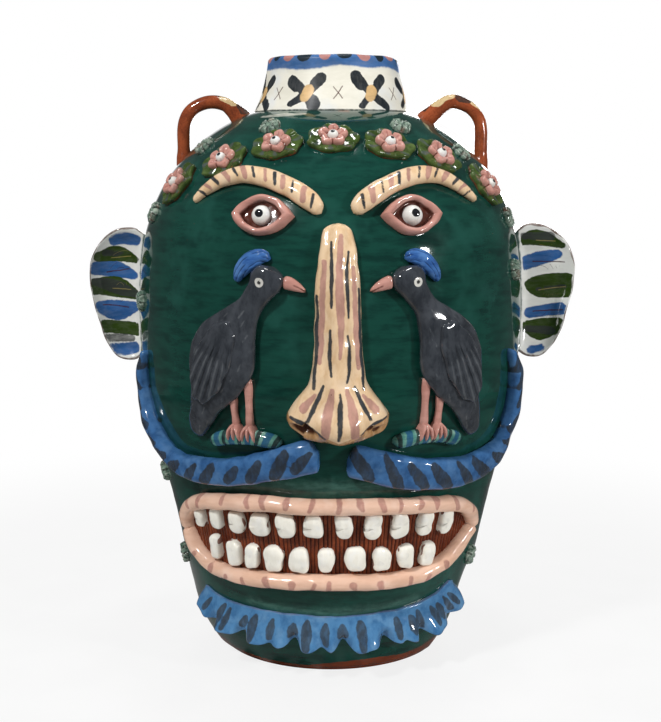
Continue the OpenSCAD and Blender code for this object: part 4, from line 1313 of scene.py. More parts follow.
@dataclass
class Mouth:
    """Peach lips with rose strokes, a combed red slab, and separate white teeth."""

    lip_width: float = 12.2
    lip_out: float = 12.0
    lining: float = 2.5
    tooth_width: float = 13.0
    tooth_out: float = 6.6
    upper_lip: Tuple[Row, ...] = (
        (-55.8, 0.258, 0.82, 0.85), (-55.5, 0.276, 0.88, 0.9), (-53.4, 0.296, 0.96, 0.95), (-49.5, 0.312, 1, 1),
        (-43, 0.325, 1, 1), (-33, 0.334, 1, 1), (-21, 0.339, 1, 1), (-9, 0.338, 1, 1), (4, 0.338, 1, 1),
        (21, 0.334, 1, 1), (35, 0.328, 1, 1), (44.5, 0.318, 1, 1), (50.6, 0.299, 1, 0.95), (54, 0.281, 0.94, 0.9),
        (55.2, 0.263, 0.86, 0.85))
    lower_lip: Tuple[Row, ...] = (
        (-55.9, 0.266, 0.82, 0.85), (-54.6, 0.245, 0.9, 0.95), (-51.6, 0.223, 0.92, 1), (-46, 0.202, 0.96, 1),
        (-40, 0.196, 1, 1), (-33, 0.194, 1, 1), (-27, 0.194, 1, 1), (-15, 0.195, 1, 1), (1, 0.196, 1, 1),
        (12, 0.194, 1, 1), (22, 0.193, 1, 1), (33, 0.198, 1, 1), (43, 0.215, 1, 1), (50, 0.243, 1, 0.95),
        (55.1, 0.27, 0.84, 0.85))
    upper_strokes: Tuple[float, ...] = (
        -49.3, -43, -33.6, -24.6, -20, -13, -5.7, 2.3, 8.9, 15.1, 20.4, 27, 32.8, 40.7, 48.7)
    lower_strokes: Tuple[float, ...] = (-50.9, -44.1, -36.7, -29.5, -21, -12.8, -5.2, -0.6, 7.8, 16.5, 26.7, 33.4, 41)
    upper_teeth: Tuple[Row, ...] = (
        (-46.7, 0.291, 0.66, 0.78), (-39, 0.297, 0.76, 0.94), (-30.7, 0.298, 0.88, 0.94), (-22.6, 0.298, 1.02, 1),
        (-13.9, 0.3, 0.96, 1.04), (-5.3, 0.302, 1, 1.02), (4.1, 0.302, 0.88, 0.98), (13.1, 0.299, 0.94, 1.04),
        (22, 0.298, 1, 1.04), (31, 0.2955, 0.86, 1.02), (39.6, 0.2915, 0.8, 1.04))
    lower_teeth: Tuple[Row, ...] = (
        (-41.6, 0.24, 0.72, 0.94), (-33.6, 0.2365, 0.85, 0.98), (-26.6, 0.235, 0.8, 0.94), (-18.9, 0.236, 1.02, 1.02),
        (-10.3, 0.236, 1, 1), (-1.4, 0.238, 0.82, 0.96), (8.1, 0.239, 1.04, 0.96), (17, 0.236, 0.97, 0.92),
        (25.4, 0.236, 0.87, 0.93), (34, 0.235, 0.82, 0.94))
    tooth_tiers: Tuple[Pair, ...] = (
        (1.0, 0.0), (1.03, 0.3), (1.03, 0.56), (0.98, 0.77), (0.88, 0.91), (0.7, 1.0), (0.45, 1.05), (0.2, 1.07),
        (0.04, 1.07))
    lip_glaze: Glaze = Glaze(
        "peach_lip_glaze", colour=(238, 198, 174), deep=(226, 182, 156), pale=(240, 206, 186), brush=9.0, cloud=16.0,
        breaks=(216, 172, 146), break_cover=0.4, pits=0.06, rough=0.14, coat=0.6,
        marks=(BrushMark("stroke", (196, 140, 128), ragged=1.0, soft=0.55, worn=0.25, cover=0.85),))
    tooth_glaze: Glaze = Glaze(
        "white_tooth_glaze", colour=(253, 250, 239), deep=(246, 242, 229), pale=(249, 248, 242), brush=5.0,
        stretch=(1.4, 1.4, 0.5), cloud=9.0, breaks=(216, 208, 196), break_cover=0.3, pits=0.05,
        pit_colour=(120, 110, 104), rough=0.12, bump=0.6,
        marks=(
            BrushMark("bare", (124, 62, 40), ragged=0.7, soft=0.25, worn=0.1),
            BrushMark("scuff", (196, 196, 194), ragged=1.4, soft=0.8, worn=0.6, cover=0.18)))
    slab_clay: BareClay = BareClay(
        "combed_red_clay", colour=(138, 66, 36), deep=(90, 38, 22), rough=0.36, coat=0.3, bump=0.6,
        marks=(BrushMark("groove", (58, 24, 18), ragged=0.25, soft=0.5, worn=0.2, cover=0.85),))

    def build(self) -> None:
        """Builds the lips, the slab and the teeth."""
        self.lip("upper_lip", self.upper_lip, self.upper_strokes, 0.2)
        self.lip("lower_lip", self.lower_lip, self.lower_strokes, -0.1)
        self.slab()
        for i, row in enumerate(self.upper_teeth):
            self.tooth(f"upper_tooth_{i + 1}", row, 18.0, i, 1)
        for i, row in enumerate(self.lower_teeth):
            self.tooth(f"lower_tooth_{i + 1}", row, 19.0, i + 20, -1)

    def lip(self, node: str, table: Tuple[Row, ...], strokes: Tuple[float, ...], middle: float) -> None:
        """Builds one lip.

        Args:
            node: its node.
            table: its line.
            strokes: degrees of its rose strokes.
            middle: height of the strokes on the lip, as a share of its width.
        """
        coil = Coil(table, self.lip_width - 0.7, self.lip_out, uneven=0.65, seed=31 + middle)
        points, u, v = coil.rings()
        marks: List[Mark] = []
        for k, az in enumerate(strokes):
            at, across = coil.along(az), middle * 12
            reach, lean = 2.6 + 1.1 * math.sin(k * 2.1), math.sin(k * 1.3)
            marks.append((at - lean, across - reach, 1.5 + 0.5 * math.sin(k * 3.1),
                          at + lean, across + reach, 2.1 + 0.7 * math.sin(k * 1.7)))
        Clay().skin(points, stroke=daub(u, v, marks)).fire(node, self.lip_glaze, "lip_glaze")

    @staticmethod
    def lip_line(table: Tuple[Row, ...], az: Array) -> Array:
        """Height of a lip's middle.

        Args:
            table: the lip's line.
            az: degrees round from the front.
        Returns:
            Heights in millimetres.
        """
        rows = curve(table, 12)
        order = np.argsort(rows[:, 0])
        return np.interp(az, rows[order, 0], rows[order, 1] * WALL.height)

    def slab(self) -> None:
        """Builds the slab, combed with upright grooves."""
        az = np.arange(-56.0, 54.01, 0.22)
        top, low = self.lip_line(self.upper_lip, az) - 3.0, self.lip_line(self.lower_lip, az) + 3.0
        low = np.minimum(low, top - 1.0)
        z = low[:, None] + (top - low)[:, None] * np.linspace(0, 1, 46)
        az, arc = az[:, None], np.radians(az)[:, None] * WALL.belly_r
        comb = np.sin((arc + ripple(points_at(arc, z * 0.12, 0), 7.0, 4.0) * 1.3) * 2 * np.pi / 3.4)
        cut = smooth(0.35, 0.95, comb)
        relief = self.lining + 0.5 - 1.1 * cut + 0.35 * ripple(points_at(arc, z, 0), 4.0, 2.0)
        rings = np.concatenate([WALL.over(az, z, relief), WALL.over(az, z[:, ::-1], -SINK)], 1)
        clay = Clay().skin(rings, groove=np.concatenate([cut * 2 - 1, 0 * cut - 1], 1))
        clay.fire("mouth_lining", self.slab_clay, "bare_clay")

    def tooth(self, node: str, row: Row, length: float, seed: int, way: int) -> None:
        """Builds one tooth.

        Args:
            node: its node.
            row: degrees, height, width and length.
            length: length of the longest tooth of its row.
            seed: number that makes it unlike the others.
            way: 1 for a tooth that hangs and -1 for one that stands.
        """
        az, z, w, h = row[0], row[1] * WALL.height, self.tooth_width * row[2], length * row[3]
        a = np.linspace(0, 2 * np.pi, 80, endpoint=False)
        line = block(w, h, 80, np.where(np.sin(a) * way > 0, 0.46, 0.74))
        s = seed * 1.37
        taper = 1 - 0.13 * way * line[:, 1] / h * (1.2 + math.sin(s * 3))
        tilt = 0.07 * math.sin(s * 2.1)
        turn = np.arctan2(line[:, 1], line[:, 0])
        bulge = 1 + 0.045 * np.sin(2 * turn + s * 5) + 0.04 * np.sin(3 * turn + s * 7) + 0.02 * np.sin(5 * turn + s)
        line = np.stack([line[:, 0] * taper + line[:, 1] * tilt, line[:, 1] - line[:, 0] * tilt * 0.5], 1)
        pad = Pad(az, z, line * bulge[:, None], self.tooth_tiers, self.tooth_out, base=self.lining - 0.4, sink=0.8,
                  steps=5, uneven=0.5, seed=s)
        size, side, up, relief = pad.places()
        flat = points_at(side, up, 0)
        relief = relief * (1 + 0.06 * ripple(flat, 6.0, s) + 0.06 * way * up / h + 0.07 * side / w * math.sin(s))
        rim = (size - 0.99) * 22 + ripple(points_at(side, up, relief), 5.5, s + 5) * 5.0 - 2.5
        bare = np.where(size > 0.9, rim, -3)
        if seed % 3 == 0:
            bare = np.where((size > 0.86) & (side * way > 0), rim + 0.9, -3)
        clay = pad.press(Clay(), relief, {"bare": -3.0, "scuff": -3.0}, bare=np.maximum(bare, -3),
                         scuff=ripple(flat, 4.2, s + 9) * 6 - 2.1)
        clay.fire(node, self.tooth_glaze, "tooth_glaze")


@dataclass
class Beard:
    """A ruffled slab under the mouth, blue with upright charcoal strokes."""

    width: float = 23.0
    out: float = 15.0
    thick: float = 4.4
    path: Tuple[Row, ...] = (
        (-60, 0.133, 0.6, 0.45), (-52, 0.117, 0.72, 0.8), (-44, 0.109, 0.78, 1), (-36, 0.106, 0.84, 1),
        (-28, 0.103, 0.86, 1), (-13, 0.101, 0.87, 1), (0, 0.1, 0.86, 1), (12, 0.101, 0.87, 1), (24, 0.104, 0.9, 1),
        (36, 0.108, 0.92, 1), (47, 0.12, 1.0, 0.85), (53, 0.135, 1.0, 0.75), (56.5, 0.147, 0.75, 0.5))
    dents: Tuple[Trio, ...] = (
        (-47.9, 5.2, 0.5), (-33.9, 6.2, 0.62), (-22.5, 4.6, 0.3), (-13.5, 5.6, 0.72), (-3.0, 4.6, 0.25),
        (4.7, 5.6, 0.7), (20.4, 5.8, 0.72), (28.5, 4.0, 0.22), (35.5, 4.8, 0.6), (48.4, 4.6, 0.5))
    strokes: Tuple[float, ...] = (
        -52.9, -44.6, -41.5, -33.9, -29.5, -22.2, -14.1, -8.4, -1.7, 4.3, 11.1, 25.1, 31.6, 34.7, 41.6, 44.7, 48.6,
        51.6)
    glaze: Glaze = Glaze(
        "blue_beard_glaze", colour=(82, 134, 180), deep=(60, 108, 154), pale=(108, 152, 190), brush=7.0,
        stretch=(0.9, 0.9, 0.7), cloud=13.0, breaks=(128, 92, 84), break_cover=0.4, rough=0.1, coat=0.95,
        marks=(
            BrushMark("stroke", (66, 76, 86), ragged=1.1, soft=0.4, worn=0.22),
            BrushMark("edge", (112, 62, 48), ragged=1.1, soft=0.5, worn=0.4, cover=0.75)))

    def build(self) -> None:
        """Builds the frill."""
        spine = Spine(self.path, self.width, self.out, spacing=0.9)
        t = np.r_[np.linspace(0, 1, 26), 1.03, 1.03, np.linspace(1, 0.02, 22)]
        inner = np.r_[np.zeros(26), 0.3, 0.7, np.ones(22)]
        run = spine.run[:, None]
        arc = np.radians(spine.az)[:, None] * 120
        dent = np.zeros_like(arc)
        for az, wide, deep in self.dents:
            gap = (arc - math.radians(az) * 120) / wide
            dent = np.maximum(dent, deep * np.exp(-gap * gap))
        wave = ripple(points_at(arc, 0, 0), 15.0, 9.0)
        full = np.sqrt(np.clip(np.minimum(run, spine.length - run) / 6, 0.02, 1))
        low = smooth(0.3, 1.0, t)
        relief = spine.high[:, None] * (0.12 + 0.88 * t ** 1.25) * (1 - 1.25 * dent * low) + (3.4 * wave + 1.2) * low
        relief = np.maximum(relief - inner * self.thick * (1 - 0.1 * low) + 0.6, -SINK)
        wide = spine.wide[:, None] * (1 + 0.05 * wave)
        x = wide * (0.5 - t) * full + 2.6 * dent * low
        points = spine.loft(x, relief * full - (1 - full) * SINK)
        marks: List[Mark] = []
        for k, az in enumerate(self.strokes):
            at, lean = spine.along(az), az * 0.032
            short = (0.62, 1.0, 0.82)[k % 3]
            fat = (3.7 + 0.5 * math.sin(k * 2.2)) * math.cos(math.radians(az)) ** 0.7
            marks += thick_line([(at - lean, 5.6 * short, fat * 0.55), (at, 0.5 - 3 * (1 - short), fat),
                                 (at + lean, -7.6 * short, fat * 0.75)])
        stroke = np.where(inner < 0.5, daub(run, (0.5 - t) * wide, marks), FAR)
        clay = Clay().skin(points + wander(points, 9.0, 6.0) * 0.5, stroke=stroke, edge=(t > 1.0) * 2.4 - 1.6)
        clay.fire("beard_frill", self.glaze, "frill_glaze")


@dataclass
class Nose:
    """A long modelled nose with flared nostrils, painted dark inside as shade, and two brow coils, in cream with pink
    and charcoal.
    """

    width: float = 66.0
    out: float = 25.0
    section: Tuple[Pair, ...] = (
        (1, 0), (1, 0.3), (0.86, 0.55), (0.6, 0.66), (0.42, 0.8), (0.2, 0.95), (0, 1), (-0.2, 0.95), (-0.42, 0.8),
        (-0.6, 0.66), (-0.86, 0.55), (-1, 0.3), (-1, 0), (-0.5, -0.02), (0, -0.02), (0.5, -0.02))
    path: Tuple[Row, ...] = (
        (0, 0.812, 0.16, 0.2), (0, 0.8, 0.27, 0.32), (0, 0.765, 0.36, 0.42), (0, 0.72, 0.42, 0.48),
        (0, 0.66, 0.455, 0.5), (0, 0.605, 0.47, 0.54), (0, 0.565, 0.53, 0.62), (0, 0.54, 0.66, 0.75),
        (0, 0.517, 0.88, 0.9), (0, 0.499, 1, 1), (0, 0.482, 0.94, 1), (0, 0.467, 0.66, 0.92), (0, 0.457, 0.36, 0.72),
        (0, 0.452, 0.2, 0.5))
    brow: Tuple[Row, ...] = (
        (4.5, 0.828, 0.6, 0.6), (8, 0.845, 1, 1), (15, 0.867, 1, 1), (24, 0.882, 0.95, 1), (33, 0.883, 0.85, 0.95),
        (41, 0.868, 0.7, 0.8), (47.5, 0.842, 0.3, 0.5))
    pink: Tuple[Tuple[Trio, ...], ...] = (
        ((10, 1.5, 1.5), (40, 0.5, 2.6), (70, 1.5, 2.0), (88, 1.0, 1.0)),
        ((26, -9, 1.4), (60, -10.5, 2.0), (92, -12, 1.6)), ((30, 9.5, 1.2), (64, 11, 1.9), (96, 12.5, 1.5)),
        ((-40, -4, 1.4), (-26, -6.5, 3.0), (-12, -8, 2.6)), ((-40, 5, 1.4), (-26, 8, 2.8), (-12, 9, 2.4)),
        ((-36, -15, 1.2), (-27, -22, 2.6)), ((-36, 15, 1.2), (-27, 22, 2.6)))
    dark: Tuple[Tuple[Trio, ...], ...] = (
        ((14, -4.5, 0.7), (34, -4.6, 1.4), (56, -4.2, 0.8)), ((20, 6, 0.6), (44, 5.2, 1.3), (62, 6.2, 0.7)),
        ((70, -5, 0.7), (84, -6, 1.3), (100, -4.5, 0.7)), ((74, 6, 0.7), (90, 6.8, 1.2), (104, 5, 0.6)),
        ((48, -13.5, 0.9), (80, -14, 1.3), (-40, -15.5, 1.0)), ((44, 13.5, 0.9), (78, 14, 1.3), (-40, 16, 1.0)),
        ((-38, 0.5, 0.7), (-26, 0.6, 1.7), (-9, 0, 0.8)), ((-42, -9.5, 0.8), (-30, -14.5, 1.5), (-20, -18.5, 0.9)),
        ((-42, 10, 0.8), (-30, 14.5, 1.4), (-21, 19, 0.8)), ((-21, -30, 0.8), (-18, -20, 1.6), (-9, -8, 0.7)),
        ((-21, 30, 0.8), (-18, 21, 1.2), (-13, 13, 0.6)))
    glaze: Glaze = Glaze(
        "cream_nose_glaze", colour=(240, 210, 172), deep=(222, 186, 144), pale=(238, 212, 182), brush=8.0,
        stretch=(1.2, 1.2, 0.5), cloud=14.0, breaks=(206, 160, 112), break_cover=0.35, pits=0.06, rough=0.13,
        marks=(
            BrushMark("under", (190, 138, 84), ragged=0.8, soft=0.8, worn=0.35, cover=0.9),
            BrushMark("pink", (202, 152, 138), ragged=0.9, soft=0.4, worn=0.1, cover=0.95),
            BrushMark("dark", (66, 70, 74), ragged=0.7, soft=0.35, worn=0.06, cover=1.0),
            # hollow: painted shade, dark brown in each nostril's depression.
            BrushMark("hollow", (74, 36, 24), ragged=0.5, soft=0.8, worn=0.1, cover=0.97)))

    def build(self) -> None:
        """Builds the nose and the brows."""
        self.bridge()
        for side in Side:
            self.arch(side)

    def bridge(self) -> None:
        """Builds the nose."""
        coil = Coil(self.path, self.width, self.out, Side.RIGHT, 0.9, shape=self.section, end=5.0, around=110,
                    uneven=0.9, seed=41)
        points, u, v = coil.rings()
        middle = WALL.over(FACE_TURN, 203.0, 13.0)
        side_way = np.array([math.cos(math.radians(FACE_TURN)), math.sin(math.radians(FACE_TURN)), 0])
        hollow = np.full(u.shape, FAR)
        for sign in (-1, 1):
            eye = middle + side_way * 23.5 * sign + [0, 0, -6.0]
            off = points - eye
            off[..., 2] += 0.42 * (np.abs(off @ side_way) - 4) * np.sign(off @ side_way) * -sign
            gap = np.linalg.norm(off * [0.66, 0.75, 1.85 + 0.25 * sign], axis=-1)
            push = smooth(9.0, 1.0, gap) * (0.72 - 0.28 * sign)
            points = points + push[..., None] * (side_way * -sign * 2.0 + [0, 6.0, 5.0])
            # Painted shade: dark brown, deepest in the middle of each nostril's depression.
            hollow = np.maximum(hollow, 4.9 - 0.9 * sign - gap)
        front = smooth(-0.5, 2.0, 188.5 + 0.56 * np.abs(v) - points[..., 2]) * 4 - 2
        pink, dark = (self.strokes(rows, coil.length) for rows in (self.pink, self.dark))
        clay = Clay().skin(points, under=front, pink=daub(u, v, pink), dark=daub(u, v, dark), hollow=hollow)
        clay.fire("nose", self.glaze, "nose_glaze")

    @staticmethod
    def strokes(rows: Tuple[Tuple[Trio, ...], ...], length: float) -> List[Mark]:
        """Marks of strokes along a length, measured from its end where a place is below zero."""
        return brush([(at + length * (at < 0), v, wide) for at, v, wide in points] for points in rows)

    def arch(self, side: Side) -> None:
        """Builds one brow.

        Args:
            side: side of the face that it is on.
        """
        coil = Coil(self.brow, 13.5, 9.0, side, end=3.5, around=40, uneven=0.55, seed=47 + side.value)
        points, u, v = coil.rings()
        dark, pink = [], []
        at, k, slant = 8.0, 0, 2.2 * side.value
        while at < coil.length - 6:
            thick = 1.5 + 0.4 * math.sin(k) if k % 2 else 0.9 + 0.25 * math.sin(k * 2.0)
            (pink if k % 2 else dark).append((at - slant, -3.6, thick, at + slant, 3.4, thick * 1.15))
            at += 7.6 + 1.2 * math.sin(k * 1.6)
            k += 1
        clay = Clay().skin(points, pink=daub(u, v, pink), dark=daub(u, v, dark))
        clay.fire(f"{side.word}_brow", self.glaze, "nose_glaze")


PINK_GLAZE = Glaze(
    "pink_lid_glaze", colour=(200, 148, 136), deep=(184, 132, 120), pale=(210, 162, 150), brush=9.0, cloud=15.0,
    breaks=(150, 84, 62), break_cover=0.3, pits=0.06, rough=0.12, coat=0.7,
    marks=(
        # socket: painted shade inside the lids round the eyeball; on a beak the same mark draws the line between its
        # halves.
        BrushMark("socket", (84, 36, 24), ragged=0.6, soft=0.4, worn=0.15, cover=0.97),
        BrushMark("under", (140, 68, 44), ragged=0.8, soft=0.4, worn=0.3, cover=0.9)))
WHITE_GLAZE = Glaze(
    "white_eye_glaze", colour=(238, 238, 232), deep=(224, 224, 216), pale=(230, 232, 234), brush=6.0, cloud=9.0,
    breaks=(210, 200, 188), break_cover=0.2, pits=0.0, rough=0.08, bump=0.2, coat=0.8,
    marks=(BrushMark("pupil", (34, 36, 40), ragged=0.25, soft=0.16, worn=0.0, cover=1.0),))


@dataclass
class Eye:
    """Open pink lids, with painted shade inside them, round a white ball with a dark pupil."""

    side: Side
    place: Pair = (21.5, 0.822)
    width: float = 44.0
    height: float = 27.0
    out: float = 8.0
    ball: float = 14.0
    ball_out: float = 8.4

    def pad(self, line: Array, tiers: Sequence[Pair], out: float, **more: float) -> Pad:
        """A pad of clay at the eye's place."""
        az, share = self.place
        return Pad(FACE_TURN + self.side.value * az, share * WALL.height, line, tiers, out, **more)

    def build(self) -> None:
        """Builds the lids and the ball."""
        self.lids()
        self.eyeball()

    def lids(self) -> None:
        """Builds the pair of lids."""
        line = almond(self.width, self.height, 120)
        tiers = ((1.0, -0.05), (1.02, 0.25), (0.99, 0.6), (0.93, 0.88), (0.85, 1.02), (0.76, 0.98), (0.69, 0.8),
                 (0.65, 0.5), (0.63, 0.3), (0.5, 0.26), (0.25, 0.26), (0.04, 0.26))
        pad = self.pad(line, tiers, self.out, steps=5, uneven=0.7, seed=51 + self.side.value)
        size, _, _, relief = pad.places()
        under = np.where(size > 0.9, np.where(relief < 1.6, 1.2 - relief, -1.0), FAR)
        # socket: painted shade on the floor and inner wall of the lids, round the ball.
        clay = pad.press(Clay(), relief, {"under": 2.0}, socket=(0.675 - size) * 22, under=under)
        clay.fire(f"{self.side.word}_eye_lids", PINK_GLAZE, "pink_glaze")

    def eyeball(self) -> None:
        """Builds the eyeball."""
        tiers = [(math.cos(t) ** 0.9, math.sin(t)) for t in np.linspace(0.02, 1.52, 14)]
        pad = self.pad(oval(self.ball, self.ball, 60), tiers, self.ball_out, base=self.out * 0.26 - 0.8, sink=0.5,
                       steps=2, uneven=0.2, seed=55)
        size, across, up, relief = pad.places()
        pupil = 2.7 - np.hypot(across + 0.4 * self.side.value, up + 0.4)
        clay = pad.press(Clay(), relief, pupil=np.where(size < 0.8, pupil, -4))
        clay.fire(f"{self.side.word}_eyeball", WHITE_GLAZE, "eyeball_glaze")


@dataclass
class Bird:
    """A charcoal bird on a banded perch, on one cheek."""

    side: Side
    body_line: Tuple[Row, ...] = (
        (17.2, 0.742, 0.2, 0.5), (17.8, 0.733, 0.4, 0.85), (18.8, 0.718, 0.46, 0.95), (20.6, 0.7, 0.38, 0.85),
        (23.2, 0.676, 0.36, 0.82), (26.5, 0.648, 0.6, 0.92), (29.6, 0.617, 0.92, 1), (32, 0.585, 1, 1),
        (34.6, 0.548, 0.84, 1), (38, 0.508, 0.5, 0.85), (42, 0.47, 0.36, 0.55), (44.6, 0.448, 0.2, 0.35))
    crest_line: Tuple[Row, ...] = (
        (18, 0.755, 0.4, 0.6), (20.6, 0.757, 0.8, 0.9), (23.4, 0.75, 1, 1), (26, 0.734, 0.8, 0.9),
        (28, 0.715, 0.3, 0.5))
    beak_line: Tuple[Row, ...] = (
        (14.4, 0.717, 1, 1), (13, 0.716, 1, 1), (10.8, 0.71, 0.75, 0.85), (8.4, 0.702, 0.25, 0.5))
    leg_lines: Tuple[Tuple[Pair, Pair], ...] = (
        ((24.4, 0.556), (24.6, 0.466)), ((29.2, 0.53), (28.9, 0.466)))
    toe: Tuple[Row, ...] = ((0, 0.012, 1, 0.75), (0.7, 0.004, 1, 1), (1, -0.008, 0.9, 1), (1.1, -0.017, 0.6, 0.75))
    perch_line: Tuple[Row, ...] = (
        (15.5, 0.446, 0.6, 0.7), (18.5, 0.452, 1, 1), (25, 0.456, 1, 1), (31, 0.453, 1, 1), (35.5, 0.446, 1, 1),
        (38, 0.44, 0.6, 0.7))
    wing_place: Pair = (33.0, 0.583)
    wing_size: Pair = (62.0, 27.0)
    wing_turn: float = 66.0
    body_out: float = 11.0
    wing_tiers: Tuple[Pair, ...] = (
        (1.0, -0.1), (1.01, 0.35), (0.97, 0.75), (0.9, 0.95), (0.75, 1.02), (0.5, 1.05), (0.25, 1.06), (0.03, 1.06))
    dark: Glaze = Glaze(
        "charcoal_bird_glaze", colour=(62, 66, 72), deep=(44, 48, 54), pale=(74, 78, 84), brush=6.0,
        stretch=(1.2, 1.2, 0.5), cloud=12.0, breaks=(112, 84, 74), break_cover=0.3, pits=0.05, pit_colour=(28, 28, 30),
        rough=0.11, bump=0.5, coat=1.0,
        marks=(
            BrushMark("feather", (112, 116, 120), ragged=0.7, soft=0.4, worn=0.5, cover=0.55),
            BrushMark("eye_white", (232, 230, 222), ragged=0.2, soft=0.2, worn=0.05),
            BrushMark("eye_dark", (26, 26, 28), ragged=0.1, soft=0.15, worn=0.0)))
    crest_glaze: Glaze = Glaze(
        "blue_crest_glaze", colour=(70, 116, 178), deep=(44, 84, 148), pale=(92, 136, 192), brush=5.0, cloud=9.0,
        breaks=(150, 160, 180), break_cover=0.3, rough=0.1, coat=0.7,
        marks=(BrushMark("groove", (34, 56, 96), ragged=0.4, soft=0.5, worn=0.2, cover=0.8),))
    perch_glaze: Glaze = Glaze(
        "teal_perch_glaze", colour=(96, 148, 136), deep=(60, 112, 104), pale=(150, 184, 168), brush=5.0, cloud=9.0,
        breaks=(190, 196, 184), break_cover=0.4, rough=0.1, coat=0.7,
        marks=(
            BrushMark("blue", (40, 92, 130), ragged=0.6, soft=0.4, worn=0.2),
            BrushMark("dark", (30, 40, 44), ragged=0.5, soft=0.3, worn=0.15)))

    def build(self) -> None:
        """Builds the bird and its perch."""
        for part in (self.body, self.wing, self.crest, self.beak, self.legs, self.perch):
            part()

    def coil(self, table: Sequence[Row], width: float, out: float, **more: float) -> Coil:
        """A coil on the bird's side of the face."""
        return Coil(table, width, out, self.side, **more)

    def body(self) -> None:
        """Builds the body, from the head to the tail."""
        coil = self.coil(self.body_line, 50.0, self.body_out + 1.0, end=3.0, around=64, uneven=0.7,
                         seed=61 + self.side.value)
        points, u, v = coil.rings()
        eye = np.hypot(u - 13.0, v - 2.2 * self.side.value)
        marks: List[Mark] = []
        for k in range(26):
            at = 34 + 4.2 * k
            if at <= coil.length - 10:
                off = float(np.interp(at, coil.run, coil.wide)) * 0.36 * math.sin(k * 2.6)
                marks.append((at, off, 0.35, at + 6, off * 1.04, 0.5))
        clay = Clay().skin(points, feather=daub(u, v, marks), eye_white=3.1 - eye, eye_dark=1.3 - eye)
        clay.fire(f"{self.side.word}_bird", self.dark, "charcoal_glaze")

    def wing(self) -> None:
        """Builds the wing, with three rows of feathers pressed into it."""
        s = self.side.value
        pad = Pad(FACE_TURN + s * self.wing_place[0], self.wing_place[1] * WALL.height,
                  oval(*self.wing_size, 150, 0.03, 9), self.wing_tiers, 3.2, base=self.body_out - 0.2, sink=0.8,
                  uneven=0.35, seed=65 + s, turn=-s * self.wing_turn)
        size, a, b, relief = pad.places()
        along = a * s
        row = np.sin(b / (0.45 + 0.55 * smooth(-31, 31, along)) * 2 * np.pi / 6.2)
        groove = smooth(0.72, 1.0, row) * smooth(-16, -8, along) * smooth(0.98, 0.85, size)
        step = (smooth(-12, -9.5, along) + smooth(4, 6.5, along)) * 0.35
        relief = relief - 1.15 * groove * smooth(0.2, 0.8, relief / 3.2) + step
        tip = np.minimum(np.abs(row) * 2 - 1.35, smooth(-10, 0, along) * 2 - 1)
        clay = pad.press(Clay(), relief, feather=np.where((relief > 1.2) & (row < 0), tip, FAR))
        clay.fire(f"{self.side.word}_wing", self.dark, "charcoal_glaze")

    def crest(self) -> None:
        """Builds the crest, with grooves along it."""
        coil = self.coil(self.crest_line, 12.5, 8.4, end=3.0)
        u, x, y = coil.places()
        comb = smooth(0.5, 1.0, np.sin(x * 2 * np.pi / 3.0 + np.sin(u / 5) * 0.6))
        points = coil.loft(x, y - 0.8 * comb * smooth(1.0, 3.0, y))
        points = points + wander(points, 8.0, 71.0 + self.side.value) * 0.7
        Clay().skin(points, groove=comb * 2 - 1.2).fire(f"{self.side.word}_crest", self.crest_glaze, "crest_glaze")

    def beak(self) -> None:
        """Builds the beak."""
        points, u, v = self.coil(self.beak_line, 9.0, 7.0, end=2.0, around=36, uneven=0.3, seed=73).rings()
        clay = Clay().skin(points, socket=0.45 - np.abs(v - 0.3) - smooth(9, 3, u) * 2)
        clay.fire(f"{self.side.word}_beak", PINK_GLAZE, "pink_glaze")

    def legs(self) -> None:
        """Builds the legs, with three toes each over the perch."""
        clay = Clay()
        for top, foot in self.leg_lines:
            rows = [(top[0] + (foot[0] - top[0]) * t, top[1] + (foot[1] - top[1]) * t, 1 + 0.15 * math.sin(9 * t), 1.0)
                    for t in np.linspace(0, 1, 6)]
            clay.skin(self.coil(rows, 5.2, 5.0, end=1.6, around=28, uneven=0.35, seed=75).rings()[0])
            for spread in (-1.7, 0.0, 1.7):
                toe = [(foot[0] + spread * share, foot[1] + rise, wide, high) for share, rise, wide, high in self.toe]
                clay.skin(self.coil(toe, 3.0, 10.2, end=1.2, around=20, uneven=0.2, seed=77).rings()[0])
        clay.fire(f"{self.side.word}_legs", PINK_GLAZE, "pink_glaze")

    def perch(self) -> None:
        """Builds the perch, banded round."""
        coil = self.coil(self.perch_line, 10.5, 8.2, end=3.0, around=36, seed=79)
        points, u, v = coil.rings()
        bands = [(4.0 + 6.2 * k, k % 2) for k in range(int(coil.length)) if 4.0 + 6.2 * k < coil.length]
        marks = [(at - 1.5, -7, 1.6 + 0.8 * odd, at + 1.5, 7, 1.3 + 0.9 * odd) for at, odd in bands]
        clay = Clay().skin(points, blue=daub(u, v, marks[1::2]), dark=daub(u, v, marks[::2]))
        clay.fire(f"{self.side.word}_perch", self.perch_glaze, "perch_glaze")


